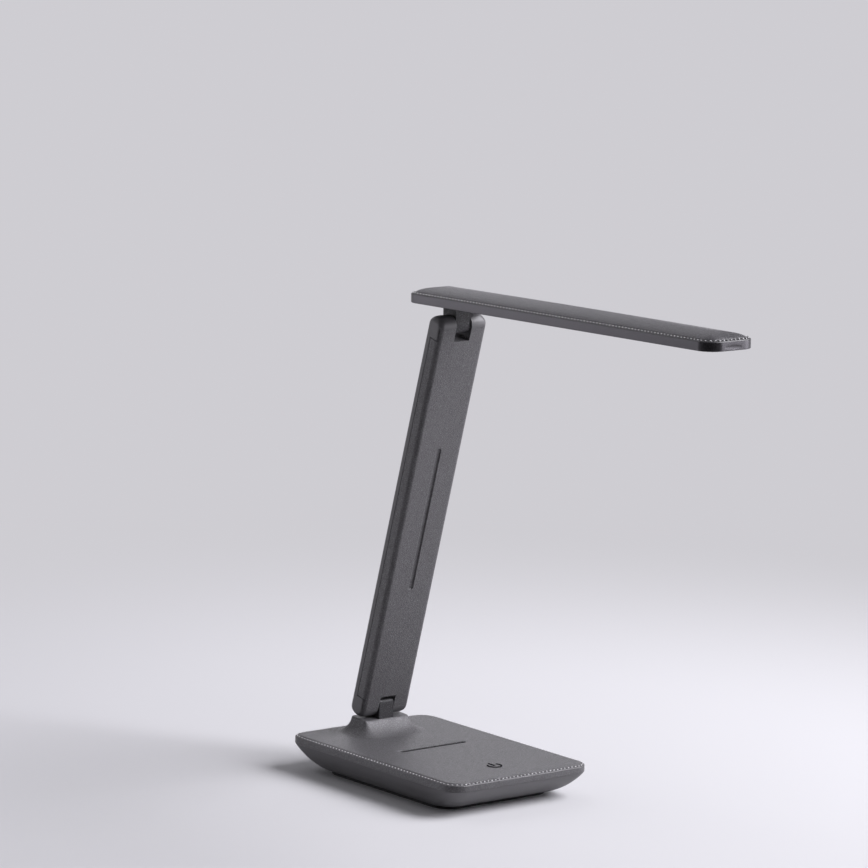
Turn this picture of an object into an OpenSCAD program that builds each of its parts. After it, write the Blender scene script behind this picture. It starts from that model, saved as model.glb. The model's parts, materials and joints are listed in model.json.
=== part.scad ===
// LED table lamp: a weighted base with a touch key, a folding arm and a light bar
// that tilts and swivels on a hub at the arm's top. A rechargeable cell is in the base.
// Frame: +Z up, the light bar reaches towards -Y, both hinge axes lie along X.
// The origin is the centre of the foot pad's lower face, on the table.

/* [Base] */
// Width of the base across its rim wall
base_w = 103.4; // [98:0.1:112]
// Length of the base from front to rear
base_l = 151.6; // [146:0.1:160]
// Plan radius of the base's corners
base_corner_r = 11; // [9:0.5:13]
// Height of the base's top face above the table
base_top_h = 20.2; // [19.6:0.1:21]
// Width of the stitched ledge round the top face
ledge_w = 2.4; // [2:0.1:3]
// Drop from the top face to the stitched ledge
ledge_drop = 1.5; // [0.9:0.1:1.8]
// Height of the upright rim wall under the ledge
rim_h = 3.2; // [2.8:0.1:3.6]
// Wall of the top cover
top_wall = 2.0; // [1.7:0.1:2.2]
// Thickness of the base's top
top_t = 2.5; // [2:0.1:2.8]
// Wall of the bottom shell
shell_wall = 1.6; // [1.3:0.1:1.8]
// How far the bottom shell draws in at each side, down to the foot pad
draw_in_side = 10.6; // [9.5:0.1:11.5]
// How far the bottom shell draws in at the front and rear
draw_in_end = 20.3; // [18.5:0.1:21.5]
// Plan radius of the foot pad's corners
foot_corner_r = 12; // [10:0.5:14]
// How far the foot pad stands below the shell
foot_stand = 2.1; // [1.8:0.1:2.4]
// Depth of the foot pad's seat in the shell
foot_seat = 0.6; // [0.4:0.1:0.8]

/* [Base top details] */
// Length of the groove across the top
top_groove_l = 48.5; // [40:0.5:56]
// Width of that groove
top_groove_w = 1.6; // [1.2:0.1:2]
// Depth of that groove
top_groove_depth = 0.5; // [0.3:0.1:0.7]
// Distance of that groove in front of the lower hinge axis
top_groove_y = 50.2; // [46:0.1:54]
// Distance of the power sign in front of the lower hinge axis
sign_y = 105.8; // [100:0.1:110]
// Outer diameter of the power sign's ring
sign_d = 9.4; // [8:0.1:11]
// Line width of the power sign
sign_line = 0.9; // [0.7:0.1:1.1]
// Depth of the power sign's inlay
sign_depth = 0.4; // [0.3:0.1:0.5]
// Opening angle of the ring, to each side of the bar
sign_open = 35; // [25:1:45]
// Side of the touch sensor under the power sign
sensor_w = 16; // [14:0.5:20]
// Thickness of the touch sensor
sensor_t = 0.8; // [0.6:0.1:1]

/* [Hinge pedestal] */
// Distance of the lower hinge axis in front of the base's rear end
hinge_rear = 20.1; // [19:0.1:21.5]
// Height of the lower hinge axis above the table
hinge_h = 35.6; // [35:0.1:37]
// Width of the pedestal's top
pedestal_w = 32.8; // [31:0.1:35]
// Reach of the pedestal's top in front of the hinge axis
pedestal_front = 7.7; // [7.4:0.1:8.2]
// Reach of the pedestal's top behind the hinge axis
pedestal_rear = 6.2; // [5.6:0.1:6.6]
// Clearance of the pedestal's front edge below the hinge axis
pedestal_drop = 7.4; // [7.3:0.1:7.8]
// Rise of the pedestal's top towards the rear
pedestal_rise = 1.0; // [0.6:0.1:1]
// Radius of the hollow sweep at the pedestal's foot
pedestal_sweep = 7; // [6:0.1:7.2]
// Draft of the pedestal's sides, as width per height
pedestal_draft = 0.3; // [0.24:0.01:0.34]
// Slope of the pedestal's front, as width per height
pedestal_slope = 0.72; // [0.6:0.01:0.8]
// Draft of the pedestal's rear, as width per height
pedestal_back = 0.18; // [0.1:0.01:0.22]
// Width of the hinge knuckles
knuckle_w = 10.7; // [10:0.1:11.2]
// Half depth of the lower knuckle
knuckle_half_t = 6.7; // [6.2:0.1:6.8]
// Height of the lower knuckle above its hinge axis
knuckle_top = 4.3; // [4.1:0.1:4.5]
// Edge radius of the lower knuckle
knuckle_r = 2.4; // [2.2:0.1:2.8]
// Width of the lower knuckle's foot flange
flange_w = 30; // [29:0.5:32]
// Depth of the lower knuckle's foot flange
flange_l = 20; // [17:0.5:22]
// Thickness of that flange
flange_t = 2.5; // [2:0.1:2.8]
// Distance of the flange screws from the middle
flange_screw_x = 10.8; // [10.4:0.1:11.2]

/* [Inside the base] */
// Width of the ballast plate
ballast_w = 56; // [50:1:57]
// Length of the ballast plate
ballast_l = 82; // [74:1:84]
// Thickness of the ballast plate
ballast_t = 4.5; // [4:0.1:4.6]
// Distance of the ballast plate's middle in front of the base's centre
ballast_y = 11; // [10.5:0.5:11.5]
// Width of the cell
cell_w = 42; // [38:0.5:46]
// Length of the cell
cell_l = 62; // [56:0.5:64]
// Thickness of the cell
cell_t = 6.8; // [6:0.1:6.9]
// Thickness of the foam under the cell
foam_t = 0.6; // [0.5:0.1:0.7]
// Width of the control board
board_w = 32; // [30:0.5:36]
// Length of the control board
board_l = 32; // [30:0.5:33]
// Thickness of the control board
board_t = 1.2; // [1:0.1:1.4]
// Distance of the board's rear edge in front of the charging socket's mouth
board_set = 7.5; // [7.2:0.1:8]
// Width of the charging socket's shell
socket_w = 8.94; // [8.9:0.01:9]
// Height of the charging socket's shell
socket_h = 3.26; // [3.2:0.01:3.3]
// Depth of the charging socket
socket_l = 8.5; // [7.5:0.1:9]
// Wall of the charging socket's shell
socket_wall = 0.3; // [0.25:0.01:0.35]
// Height of the charging socket's middle above the table
socket_z = 12; // [11.8:0.1:12.2]
// Diameter of the charge light pipe
pipe_d = 2.2; // [1.8:0.1:2.6]
// Distance of the charge light pipe beside the socket
pipe_x = 9.5; // [9:0.1:11]
// Distance of the base screws from the base's middle line
base_screw_x = 33; // [32.5:0.1:33.5]
// Distance of the base screws in front of and behind the centre
base_screw_y = 46; // [45:0.1:46.5]
// Shank diameter of the base screws
base_screw_d = 2.6; // [2.4:0.1:2.8]

/* [Arm] */
// Distance between the two hinge axes
arm_span = 240; // [232:0.5:250]
// Width of the arm
arm_w = 34.4; // [33.6:0.1:36]
// Thickness of the arm, which is also the diameter of its round ends
arm_t = 12.5; // [12.2:0.1:12.8]
// Radius of the arm's long edges
arm_edge_r = 3; // [2.5:0.1:3.4]
// Radius of the arm's corners, seen from the front
arm_corner_r = 4.5; // [4:0.1:5.5]
// Wall of the arm's covers
arm_wall = 1.5; // [1.3:0.1:1.6]
// Width of the notches that take the knuckles
notch_w = 11.3; // [11.2:0.1:11.8]
// Depth of the notches past the hinge axes
notch_depth = 7.7; // [7.5:0.1:8.2]
// Place of the parting line behind the arm's middle plane
part_y = 1.3; // [1:0.1:1.8]
// Distance of the parting line's steps from the hinge axes
part_step = 7; // [6:0.1:7.4]
// Width of the parting line
part_gap = 0.15; // [0.1:0.01:0.2]
// Start of the long groove above the lower hinge axis
arm_groove_from = 76.3; // [70:0.1:82]
// Length of the long groove
arm_groove_l = 88.7; // [80:0.1:96]
// Width of the long groove
arm_groove_w = 1.9; // [1.5:0.1:2.2]
// Depth of the long groove
arm_groove_depth = 0.6; // [0.4:0.1:0.8]
// Lean of the arm at rest, forward from upright
arm_lean = 14.4; // [10:0.1:20]
// Thickness of the steel spine
spine_t = 1.5; // [1.2:0.1:1.8]
// Width of the steel spine's plate
spine_w = 19; // [18.5:0.1:20]
// Thickness of the spine's ears
ear_t = 1.6; // [1.4:0.1:1.8]
// Radius of the spine's ears
ear_r = 4.2; // [4:0.1:4.4]
// Shank diameter of the spine screws
spine_screw_d = 2.2; // [2:0.1:2.4]
// Number of spine screws
spine_screws = 4; // [3:1:5]

/* [Hinge hardware] */
// Diameter of the hinge pins
pin_d = 4.6; // [4.4:0.1:4.8]
// Bore of the hinge pins for the lamp lead
pin_bore_d = 2.4; // [2.2:0.1:2.6]
// Running clearance of a pin in its knuckle, on the radius
pin_run = 0.05; // [0.03:0.01:0.08]
// Diameter of the pin heads and washers
pin_head_d = 7.6; // [7.2:0.1:8]
// Thickness of the pin heads
pin_head_t = 1.6; // [1.4:0.1:1.8]
// Thickness of one spring washer
washer_t = 0.5; // [0.4:0.05:0.6]
// Thickness of the hinge nuts
nut_t = 2.2; // [2:0.1:2.4]
// Diameter of the lamp lead
lead_d = 1.4; // [1.2:0.1:1.6]
// Diameter of the cell's leads and of the lead inside the light bar
power_lead_d = 1.0; // [0.8:0.1:1]
// Diameter of the touch sensor's lead
thin_lead_d = 0.8; // [0.6:0.1:0.8]

/* [Light bar] */
// Length of the light bar
head_l = 264.2; // [255:0.1:275]
// Width of the light bar
head_w = 34.6; // [34:0.1:36]
// Reach of the light bar behind the swivel axis
head_rear = 27.2; // [26.5:0.1:30]
// Plan radius of the light bar's corners
head_corner_r = 9.5; // [8:0.1:11]
// Distance of the light bar's underside from the upper hinge axis
head_gap = 11.5; // [11.3:0.1:12]
// Height of the light bar's side wall
head_wall_h = 5.9; // [5.9:0.1:6.3]
// Wall of the light bar's shell
head_wall = 1.5; // [1.3:0.1:1.6]
// Thickness of the light bar's deck under the pad
deck_t = 1.2; // [1:0.1:1.2]
// Distance of the pad's edge from the inner side of the stitched ledge
pad_edge = 0.3; // [0.2:0.1:0.5]
// Height at which the pad's edge starts to bulge
pad_edge_h = 0.1; // [0.1:0.05:0.3]
// Crown of the padded top above its rim
pad_crown = 3.6; // [3:0.1:4]
// Rest angle of the light bar against the arm
head_tilt = -16.2; // [-20:0.1:-10]
// Rest angle of the light bar about the swivel axis
head_turn = -1.3; // [-10:0.1:10]
// Width of the window
window_w = 18.5; // [17.5:0.1:19]
// Distance of the window's near end from the swivel axis
window_from = 30; // [29:0.1:33]
// Length of the window
window_l = 192.7; // [185:0.1:194]
// Corner radius of the window
window_r = 1.6; // [1.2:0.1:2.2]
// Depth of the diffuser behind the underside
window_depth = 0.7; // [0.6:0.1:0.8]
// Overlap of the diffuser behind the window's edge
window_lap = 1.4; // [1.1:0.1:1.5]
// Thickness of the diffuser
diffuser_t = 1.0; // [0.8:0.1:1]
// Thickness of the light guide
guide_t = 2.0; // [1.8:0.1:2]
// Thickness of the reflector sheet
reflector_t = 0.2; // [0.2:0.05:0.3]
// Number of LEDs on each strip
led_count = 14; // [10:1:18]
// Length of one LED along its strip
led_l = 2.8; // [2.4:0.1:3.2]
// Thickness of the LED strips
strip_t = 0.8; // [0.6:0.1:0.9]

/* [Swivel] */
// Diameter of the swivel disc
disc_d = 20.4; // [19.6:0.1:21]
// Diameter of the recess round the swivel disc
recess_d = 23.2; // [22.6:0.1:24]
// Depth of that recess
recess_depth = 0.8; // [0.7:0.1:0.9]
// Thickness of the swivel disc outside the light bar
disc_t = 0.5; // [0.4:0.1:0.7]
// Radius of the upper knuckle's barrel
barrel_r = 5.2; // [5:0.1:5.6]
// Distance of the upper knuckle's rear face from the hinge axis
neck_rear = 6.3; // [5.8:0.1:6.4]
// Corner radius of the upper knuckle, seen from the front
barrel_corner_r = 2.5; // [2:0.1:3]
// Diameter of the swivel stem
stem_d = 7.2; // [7:0.1:7.6]
// Bore of the swivel stem for the lamp lead
stem_bore_d = 3.2; // [2.8:0.1:3.4]
// Wall of the bottom cover over the recess
recess_wall = 1.2; // [1:0.1:1.2]
// Thickness of the bearing plate
bearing_t = 1.0; // [0.9:0.05:1]
// Thickness of the wave washer
wave_t = 0.3; // [0.2:0.05:0.3]
// Thickness of the swivel nut
swivel_nut_t = 1.1; // [1:0.05:1.15]
// Diameter of the swivel nut
swivel_nut_d = 12; // [11:0.1:13]
// Distance of the head screws from the middle line
head_screw_x = 7.1; // [6.9:0.1:7.6]
// Distance of the head screws from the swivel axis along the bar
head_screw_y = 17.7; // [17.2:0.1:18.2]
// Diameter of the head screws' heads
head_screw_head_d = 3.8; // [3.6:0.1:4.2]
// Shank diameter of the head screws
head_screw_d = 1.8; // [1.6:0.1:2]

/* [Hidden] */
$fn = 64;

// Small clearances between neighbours
fit = 0.1;        // pieces that only sit in a seat
slide_fit = 0.05; // faces that turn on each other
hole_fit = 0.3;   // a part that passes through a hole
eps = 0.01;

plastic = [0.36, 0.35, 0.36];
plastic_dark = [0.28, 0.28, 0.29];
steel = [0.72, 0.73, 0.75];
spring = [0.8, 0.78, 0.7];

hinge_back = base_l/2 - hinge_rear;
ledge_z = base_top_h - ledge_drop;
rim_z = ledge_z - rim_h;
deck_z = base_top_h - top_t;
shell_h = rim_z - foot_stand;
shell_floor = foot_stand + foot_seat + shell_wall;
pedestal_front_z = hinge_h - pedestal_drop;
pedestal_h = pedestal_front_z - base_top_h;

ballast_z = shell_floor + fit;
foam_z = ballast_z + ballast_t;
cell_z = foam_z + foam_t;
board_top = socket_z - socket_h/2;
board_z = board_top - board_t;
socket_mouth_y = shell_outline_y(socket_z) - 0.4;
board_rear_y = socket_mouth_y - board_set;
board_y = board_rear_y - board_l/2;
ballast_head_t = 1.6;
ballast_head_d = 4.4;
ballast_screw_d = 2.2;
ballast_screw_l = ballast_z + ballast_t - ballast_head_t - foot_stand - foot_seat - 0.4;
ballast_screw_x = ballast_w/2 - 5;
ballast_screw_y = ballast_l/2 - 5;
base_screw_head_t = 1.4;
base_screw_head_d = 5;
base_screw_z = foot_stand + foot_seat + 0.2;
base_screw_grip = 1.4;
boss_r = base_screw_d/2 + 1.9;
lip_t = 1.2;
lip_root = 2;
foot_w = base_w - 2*draw_in_side - 1;
foot_l = base_l - 2*draw_in_end - 1;
board_post_d = 4.8;
board_post_in = 3;
knuckle_screw_grip = 4.4;
flange_z = deck_z - flange_t;
flange_screw_d = 2.6;
flange_screw_head_t = 1.5;
flange_screw_head_d = 4.8;

skin_y = -arm_t/2 + arm_wall + fit;
ear_x = notch_w/2 + arm_wall + fit;
ear_out = ear_x + ear_t;
washer_x = ear_out + slide_fit;
nut_x = washer_x + 2*washer_t + 2*slide_fit;
pin_end = nut_x + nut_t + 0.6;
spine_front = -0.9;
spine_head_t = 1.3;
spine_head_d = 4.2;
spine_boss_d = 5.4;
spine_screw_l = 4.6;
spine_screw_from = 26;
wire_x = -(ear_out + pin_head_t + lead_d/2 + 0.6);

head_top = head_gap + head_wall_h;
head_deck = head_top - deck_t;
cover_t = 1.5;
cover_inset = head_wall + fit;
recess_top = head_gap + recess_depth;
cover_boss_top = recess_top + recess_wall;
bearing_top = cover_boss_top + bearing_t;
wave_z = bearing_top + 0.02;
swivel_nut_z = wave_z + wave_t;
stem_top = swivel_nut_z + swivel_nut_t;
diffuser_z = head_gap + window_depth;
guide_z = diffuser_z + diffuser_t;
reflector_z = guide_z + guide_t;
guide_w = window_w + 1.5;
led_depth = 0.7;
led_h = 1.2;
rail_t = 1;
strip_x = guide_w/2 + led_depth + 0.1;
diffuser_l = window_l + 2*window_lap;
window_mid = -(window_from + window_l/2);
lead_slot_y = -7;
lead_slot_l = 20;
lead_slot_w = 3.4;
head_screw_head_t = 0.8;
head_screw_l = 3.2;

// Share of the draw-in that the bottom shell has at a share t of its depth
function draw(t) = 0.45*t + 0.55*(1 - sqrt(max(0, 1 - t*t)));
// Share of the pad's crown at a share s of the way in from its edge to its middle line
function crown(s) = pow(1 - pow(1 - s, 1.5), 2/3);
function shell_outline_y(z) = base_l/2 - draw_in_end*draw((rim_z - z)/shell_h);

// Points of a rounded rectangle at one height, counted round from +X
function ring(w, l, r, z, n = 6) = [
    for (q = [0:3]) for (k = [0:n])
        let (a = 90*q + 90*k/n, sx = (q == 0 || q == 3) ? 1 : -1, sy = q < 2 ? 1 : -1)
        [sx*(w/2 - r) + r*cos(a), sy*(l/2 - r) + r*sin(a), z]];

// Closed solid through rings of equal length, listed from the bottom up
module loft(rings) {
    m = len(rings[0]);
    last = len(rings) - 1;
    polyhedron(
        points = [for (ring_points = rings) each ring_points],
        faces = concat(
            [[for (j = [0:m - 1]) j]],
            [for (i = [0:last - 1]) for (j = [0:m - 1]) [i*m + j, (i + 1)*m + j, (i + 1)*m + (j + 1)%m]],
            [for (i = [0:last - 1]) for (j = [0:m - 1]) [i*m + j, (i + 1)*m + (j + 1)%m, i*m + (j + 1)%m]],
            [[for (j = [m - 1:-1:0]) last*m + j]]));
}

// Rounded rectangle with true arcs
module rounded(w, l, r) {
    square([w - 2*r, l], center = true);
    square([w, l - 2*r], center = true);
    for (sx = [-1, 1]) for (sy = [-1, 1])
        translate([sx*(w/2 - r), sy*(l/2 - r)]) circle(r);
}

// Stadium with its length along X
module slot2d(l, w) {
    square([l - w, w], center = true);
    for (s = [-1, 1]) translate([s*(l - w)/2, 0]) circle(w/2);
}

// Cylinder with its length along X, from x0 to x1
module rod_x(d, x0, x1) {
    translate([x0, 0, 0]) rotate([0, 90, 0]) cylinder(d = d, h = x1 - x0);
}

// Ring with its axis along X, from x0 to x1
module washer_x_axis(d, bore, x0, x1) {
    difference() {
        rod_x(d, x0, x1);
        rod_x(bore, x0 - 1, x1 + 1);
    }
}

// Unit vector along a wire at its point i
function way(points, i) =
    let (last = len(points) - 1, v = points[min(last, i + 1)] - points[max(0, i - 1)]) v/norm(v);

// Points of one ring round a wire, square to its way
function wire_ring(centre, along, r) =
    let (side = cross(along, [0.48, 0.6, 0.64]), u = side/norm(side), v = cross(along, u))
    [for (a = [0:45:315]) centre + r*(cos(a)*u + sin(a)*v)];

// Points a short way before and after each bend, so that a wire keeps its thickness there
function eased(points, d) = [
    points[0],
    for (i = [1:1:len(points) - 2]) each
        [points[i] + d*(points[i - 1] - points[i])/norm(points[i - 1] - points[i]),
         points[i] + d*(points[i + 1] - points[i])/norm(points[i + 1] - points[i])],
    points[len(points) - 1]];

// Wire with eight sides through the given points
module wire(points, d) {
    path = eased(points, d);
    loft([for (i = [0:len(path) - 1]) wire_ring(path[i], way(path, i), d/2)]);
}

// Screw that points up, its head's lower face at z = 0
module screw_up(head_d, head_t, d, length) {
    cylinder(d = head_d, h = head_t);
    cylinder(d = d, h = head_t + length);
}

module four(x, y) {
    for (sx = [-1, 1]) for (sy = [-1, 1]) translate([sx*x, sy*y, 0]) children();
}

// The frames of the moving bodies at rest
module at_hinge() translate([0, hinge_back, hinge_h]) children();
module in_arm() at_hinge() rotate([arm_lean, 0, 0]) children();
module in_hub() in_arm() translate([0, 0, arm_span]) rotate([head_tilt, 0, 0]) children();
module in_head() in_hub() rotate([0, 0, head_turn]) children();

// Base

function pedestal_ring(h) =
    let (hollow = h < pedestal_sweep
             ? pedestal_sweep - sqrt(pedestal_sweep*pedestal_sweep - pow(pedestal_sweep - h, 2)) : 0,
         below = pedestal_h - h,
         side = pedestal_draft*below + hollow,
         front = pedestal_front + pedestal_slope*below + hollow,
         rear = pedestal_rear + pedestal_back*below + hollow,
         mid = (rear - front)/2,
         flat = ring(pedestal_w + 2*side, front + rear, 2 + side, 0))
    [for (p = flat)
        let (share = min(1, max(0, (p[1] + mid + pedestal_front)/(pedestal_front + pedestal_rear))))
        [p[0], p[1] + mid + hinge_back, base_top_h + h*(1 + pedestal_rise*share/pedestal_h)]];

module pedestal() {
    lowest = pedestal_ring(0.02*pedestal_sweep);
    loft(concat(
        [[for (p = lowest) [p[0], p[1], base_top_h - 0.6]]],
        [for (share = [0.02, 0.07, 0.16, 0.3, 0.48, 0.72, 1]) pedestal_ring(share*pedestal_sweep)],
        [pedestal_ring(pedestal_h)]));
}

module rim_body() {
    loft([for (step = [[rim_z, 0], [ledge_z - 0.45, 0], [ledge_z - 0.12, 0.12], [ledge_z, 0.45],
                       [ledge_z, ledge_w], [base_top_h - 0.4, ledge_w + 0.3],
                       [base_top_h - 0.1, ledge_w + 0.7], [base_top_h, ledge_w + 1.2]])
        ring(base_w - 2*step[1], base_l - 2*step[1], base_corner_r - step[1], step[0])]);
}

// The power sign: an open ring with a bar through its gap, which faces the hinge
module power_sign_2d() {
    difference() {
        circle(d = sign_d);
        circle(d = sign_d - 2*sign_line);
        polygon([[0, 0], [-sign_d*sin(sign_open), sign_d*cos(sign_open)],
                 [sign_d*sin(sign_open), sign_d*cos(sign_open)]]);
    }
    translate([-sign_line/2, 0]) square([sign_line, sign_d/2 + sign_line]);
}

module knuckle_slot() {
    translate([-knuckle_w/2 - fit, hinge_back - knuckle_half_t - fit, deck_z - 1])
        cube([knuckle_w + 2*fit, 2*(knuckle_half_t + fit), hinge_h]);
}

module pedestal_hollow() {
    translate([0, hinge_back + (pedestal_rear - pedestal_front)/2, deck_z - eps])
        linear_extrude(pedestal_h - 0.4)
            rounded(pedestal_w - 2*top_wall, pedestal_front + pedestal_rear - 2*top_wall, 1.5);
}

module base_top_cover() {
    color(plastic) difference() {
        union() {
            difference() {
                union() {
                    rim_body();
                    pedestal();
                }
                translate([0, 0, rim_z - 1]) linear_extrude(deck_z - rim_z + 1)
                    rounded(base_w - 2*top_wall, base_l - 2*top_wall, base_corner_r - top_wall);
                pedestal_hollow();
            }
            // Posts for the base screws
            four(base_screw_x, base_screw_y) cylinder_from(rim_z, deck_z + 0.5, 2*boss_r);
            // Posts for the knuckle screws
            for (s = [-1, 1]) translate([s*flange_screw_x, hinge_back, deck_z])
                cylinder(d = flange_screw_d + 3, h = pedestal_h);
        }
        knuckle_slot();
        four(base_screw_x, base_screw_y) translate([0, 0, rim_z - 1])
            cylinder(d = base_screw_d + 2*fit, h = base_screw_grip + 1.2);
        for (s = [-1, 1]) translate([s*flange_screw_x, hinge_back, deck_z - 1])
            cylinder(d = flange_screw_d + 2*slide_fit, h = knuckle_screw_grip + 1.6);
        translate([0, hinge_back - top_groove_y, base_top_h - top_groove_depth])
            linear_extrude(2) slot2d(top_groove_l, top_groove_w);
        translate([0, hinge_back - sign_y, base_top_h - sign_depth]) linear_extrude(2) power_sign_2d();
    }
}

module power_sign() {
    color([0.12, 0.12, 0.13]) translate([0, hinge_back - sign_y, base_top_h - sign_depth])
        linear_extrude(sign_depth - 0.05) power_sign_2d();
}

module shell_loft(inset, lift, t_from) {
    loft([for (t = [t_from, 0.94, 0.85, 0.74, 0.6, 0.45, 0.28, 0.12, 0])
        ring(base_w - 2*draw_in_side*draw(t) - 2*inset, base_l - 2*draw_in_end*draw(t) - 2*inset,
             base_corner_r + (foot_corner_r - base_corner_r)*draw(t) - inset, rim_z - shell_h*t + lift)]);
}

module base_bottom_shell() {
    lip_w = base_w - 2*(top_wall + fit);
    lip_l = base_l - 2*(top_wall + fit);
    lip_r = base_corner_r - top_wall - fit;
    color(plastic_dark) difference() {
        union() {
            difference() {
                union() {
                    translate([0, 0, -part_gap]) shell_loft(0, 0, 1);
                    // Lip that centres the top cover
                    translate([0, 0, rim_z - lip_root]) linear_extrude(lip_root + lip_t)
                        rounded(lip_w, lip_l, lip_r);
                }
                shell_loft(shell_wall, shell_wall + foot_seat, 1);
                translate([0, 0, rim_z - 1]) linear_extrude(6)
                    rounded(lip_w - 2*lip_t, lip_l - 2*lip_t, lip_r - lip_t);
            }
            four(base_screw_x, base_screw_y) cylinder_from(foot_stand, rim_z - fit, 2*boss_r);
            // Posts under the control board
            for (sx = [-1, 1]) for (sy = [-1, 1])
                translate([sx*(board_w/2 - board_post_in), board_y + sy*(board_l/2 - board_post_in), 0])
                    cylinder_from(foot_stand + foot_seat + 0.5, board_z, board_post_d);
            // Frame round the charging socket
            translate([0, shell_outline_y(socket_z) - 2.6, socket_z])
                rotate([90, 0, 0]) linear_extrude(2.4, center = true) slot2d(socket_w + 4, socket_h + 3);
        }
        // Seat of the foot pad
        translate([0, 0, foot_stand - 1]) linear_extrude(1 + foot_seat)
            rounded(foot_w + 2*fit, foot_l + 2*fit, foot_corner_r);
        // Screw holes from below
        four(base_screw_x, base_screw_y) {
            cylinder_from(foot_stand - 1, base_screw_z + base_screw_head_t, base_screw_head_d + 2*hole_fit);
            cylinder_from(foot_stand, rim_z + 1, base_screw_d + 2*fit);
        }
        four(ballast_screw_x, ballast_screw_y) translate([0, -ballast_y, foot_stand])
            cylinder(d = 2.4, h = shell_floor);
        // Charging socket and light pipe
        translate([0, shell_outline_y(socket_z), socket_z]) rotate([90, 0, 0])
            linear_extrude(16, center = true) slot2d(socket_w + 2*fit, socket_h + 2*fit);
        translate([pipe_x, shell_outline_y(socket_z), socket_z]) rotate([90, 0, 0])
            cylinder(d = pipe_d + 2*fit, h = 16, center = true);
    }
}

module foot_pad() {
    color([0.07, 0.07, 0.07]) linear_extrude(foot_stand + foot_seat)
        rounded(foot_w, foot_l, foot_corner_r - fit);
}

module ballast_plate() {
    color(steel) difference() {
        translate([0, -ballast_y, ballast_z]) linear_extrude(ballast_t) rounded(ballast_w, ballast_l, 3);
        four(ballast_screw_x, ballast_screw_y) translate([0, -ballast_y, ballast_z - 1])
            cylinder(d = 2.6, h = ballast_t + 2);
        four(ballast_screw_x, ballast_screw_y)
            translate([0, -ballast_y, ballast_z + ballast_t - ballast_head_t - fit])
                cylinder(d = ballast_head_d + 2*hole_fit, h = ballast_head_t + 1);
    }
}

module ballast_screws() {
    color([0.6, 0.6, 0.62]) four(ballast_screw_x, ballast_screw_y)
        translate([0, -ballast_y, ballast_z + ballast_t - fit]) mirror([0, 0, 1])
            screw_up(ballast_head_d, ballast_head_t, ballast_screw_d, ballast_screw_l);
}

module cell_foam() {
    color([0.2, 0.2, 0.2]) translate([0, -ballast_y, foam_z]) linear_extrude(foam_t)
        rounded(cell_w - 4, cell_l - 4, 1);
}

module battery_cell() {
    color([0.55, 0.6, 0.68]) translate([0, -ballast_y, cell_z]) linear_extrude(cell_t)
        rounded(cell_w, cell_l, 2.5);
}

module control_board() {
    color([0.12, 0.35, 0.2]) difference() {
        union() {
            translate([-board_w/2, board_y - board_l/2, board_z]) cube([board_w, board_l, board_t]);
            // Chips and coil on the board
            translate([-11, board_y - 9, board_top - eps]) cube([7, 7, 1.2]);
            translate([4, board_y - 8, board_top - eps]) cube([5, 6, 1.6]);
            translate([-9, board_y + 6, board_top - eps]) cylinder(d = 6, h = 2);
        }
        translate([0, board_rear_y, board_z - 1]) linear_extrude(board_t + 2) square([3, 2], center = true);
    }
}

module charging_socket() {
    color(steel) translate([0, socket_mouth_y, socket_z]) rotate([90, 0, 0]) {
        difference() {
            linear_extrude(socket_l) slot2d(socket_w, socket_h);
            translate([0, 0, -1]) linear_extrude(socket_l - 0.5)
                slot2d(socket_w - 2*socket_wall, socket_h - 2*socket_wall);
        }
        // Contact tongue in the socket
        translate([-3.3, -0.35, 0.7]) cube([6.6, 0.7, socket_l - 1]);
    }
}

module charge_light_pipe() {
    color([0.9, 0.9, 0.88]) translate([pipe_x, shell_outline_y(socket_z) - 0.3, socket_z])
        rotate([90, 0, 0]) cylinder(d = pipe_d, h = 6.5);
}

module touch_sensor() {
    color([0.8, 0.6, 0.25]) translate([0, hinge_back - sign_y, deck_z - fit - sensor_t])
        linear_extrude(sensor_t) rounded(sensor_w, sensor_w, 2);
}

module base_knuckle() {
    color(plastic) difference() {
        union() {
            intersection() {
                translate([-knuckle_w/2, hinge_back, flange_z]) rotate([90, 0, 90]) linear_extrude(knuckle_w)
                    translate([0, (hinge_h + knuckle_top - flange_z)/2])
                        rounded(2*knuckle_half_t, hinge_h + knuckle_top - flange_z, knuckle_r);
                translate([0, hinge_back + knuckle_half_t + 1, flange_z]) rotate([90, 0, 0])
                    linear_extrude(2*knuckle_half_t + 2) translate([0, (hinge_h + knuckle_top - flange_z)/2])
                        rounded(knuckle_w, hinge_h + knuckle_top - flange_z, knuckle_r);
            }
            translate([0, hinge_back, flange_z]) linear_extrude(flange_t - fit)
                rounded(flange_w, flange_l, 3);
        }
        translate([0, hinge_back, hinge_h]) rod_x(pin_d + 2*pin_run, -knuckle_w, knuckle_w);
        translate([0, hinge_back, flange_z - 1]) cylinder(d = lead_d + 1.4, h = hinge_h - flange_z);
        for (s = [-1, 1]) translate([s*flange_screw_x, hinge_back, flange_z - 1])
            cylinder(d = flange_screw_d + hole_fit, h = flange_t + 2);
    }
}

module knuckle_screws() {
    color(steel) for (s = [-1, 1])
        translate([s*flange_screw_x, hinge_back, flange_z - flange_screw_head_t - slide_fit])
            screw_up(flange_screw_head_d, flange_screw_head_t, flange_screw_d,
                     flange_t + knuckle_screw_grip);
}

module base_screws() {
    shank = rim_z + base_screw_grip - base_screw_z - base_screw_head_t;
    color(steel) four(base_screw_x, base_screw_y) translate([0, 0, base_screw_z])
        screw_up(base_screw_head_d, base_screw_head_t, base_screw_d, shank);
}

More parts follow.
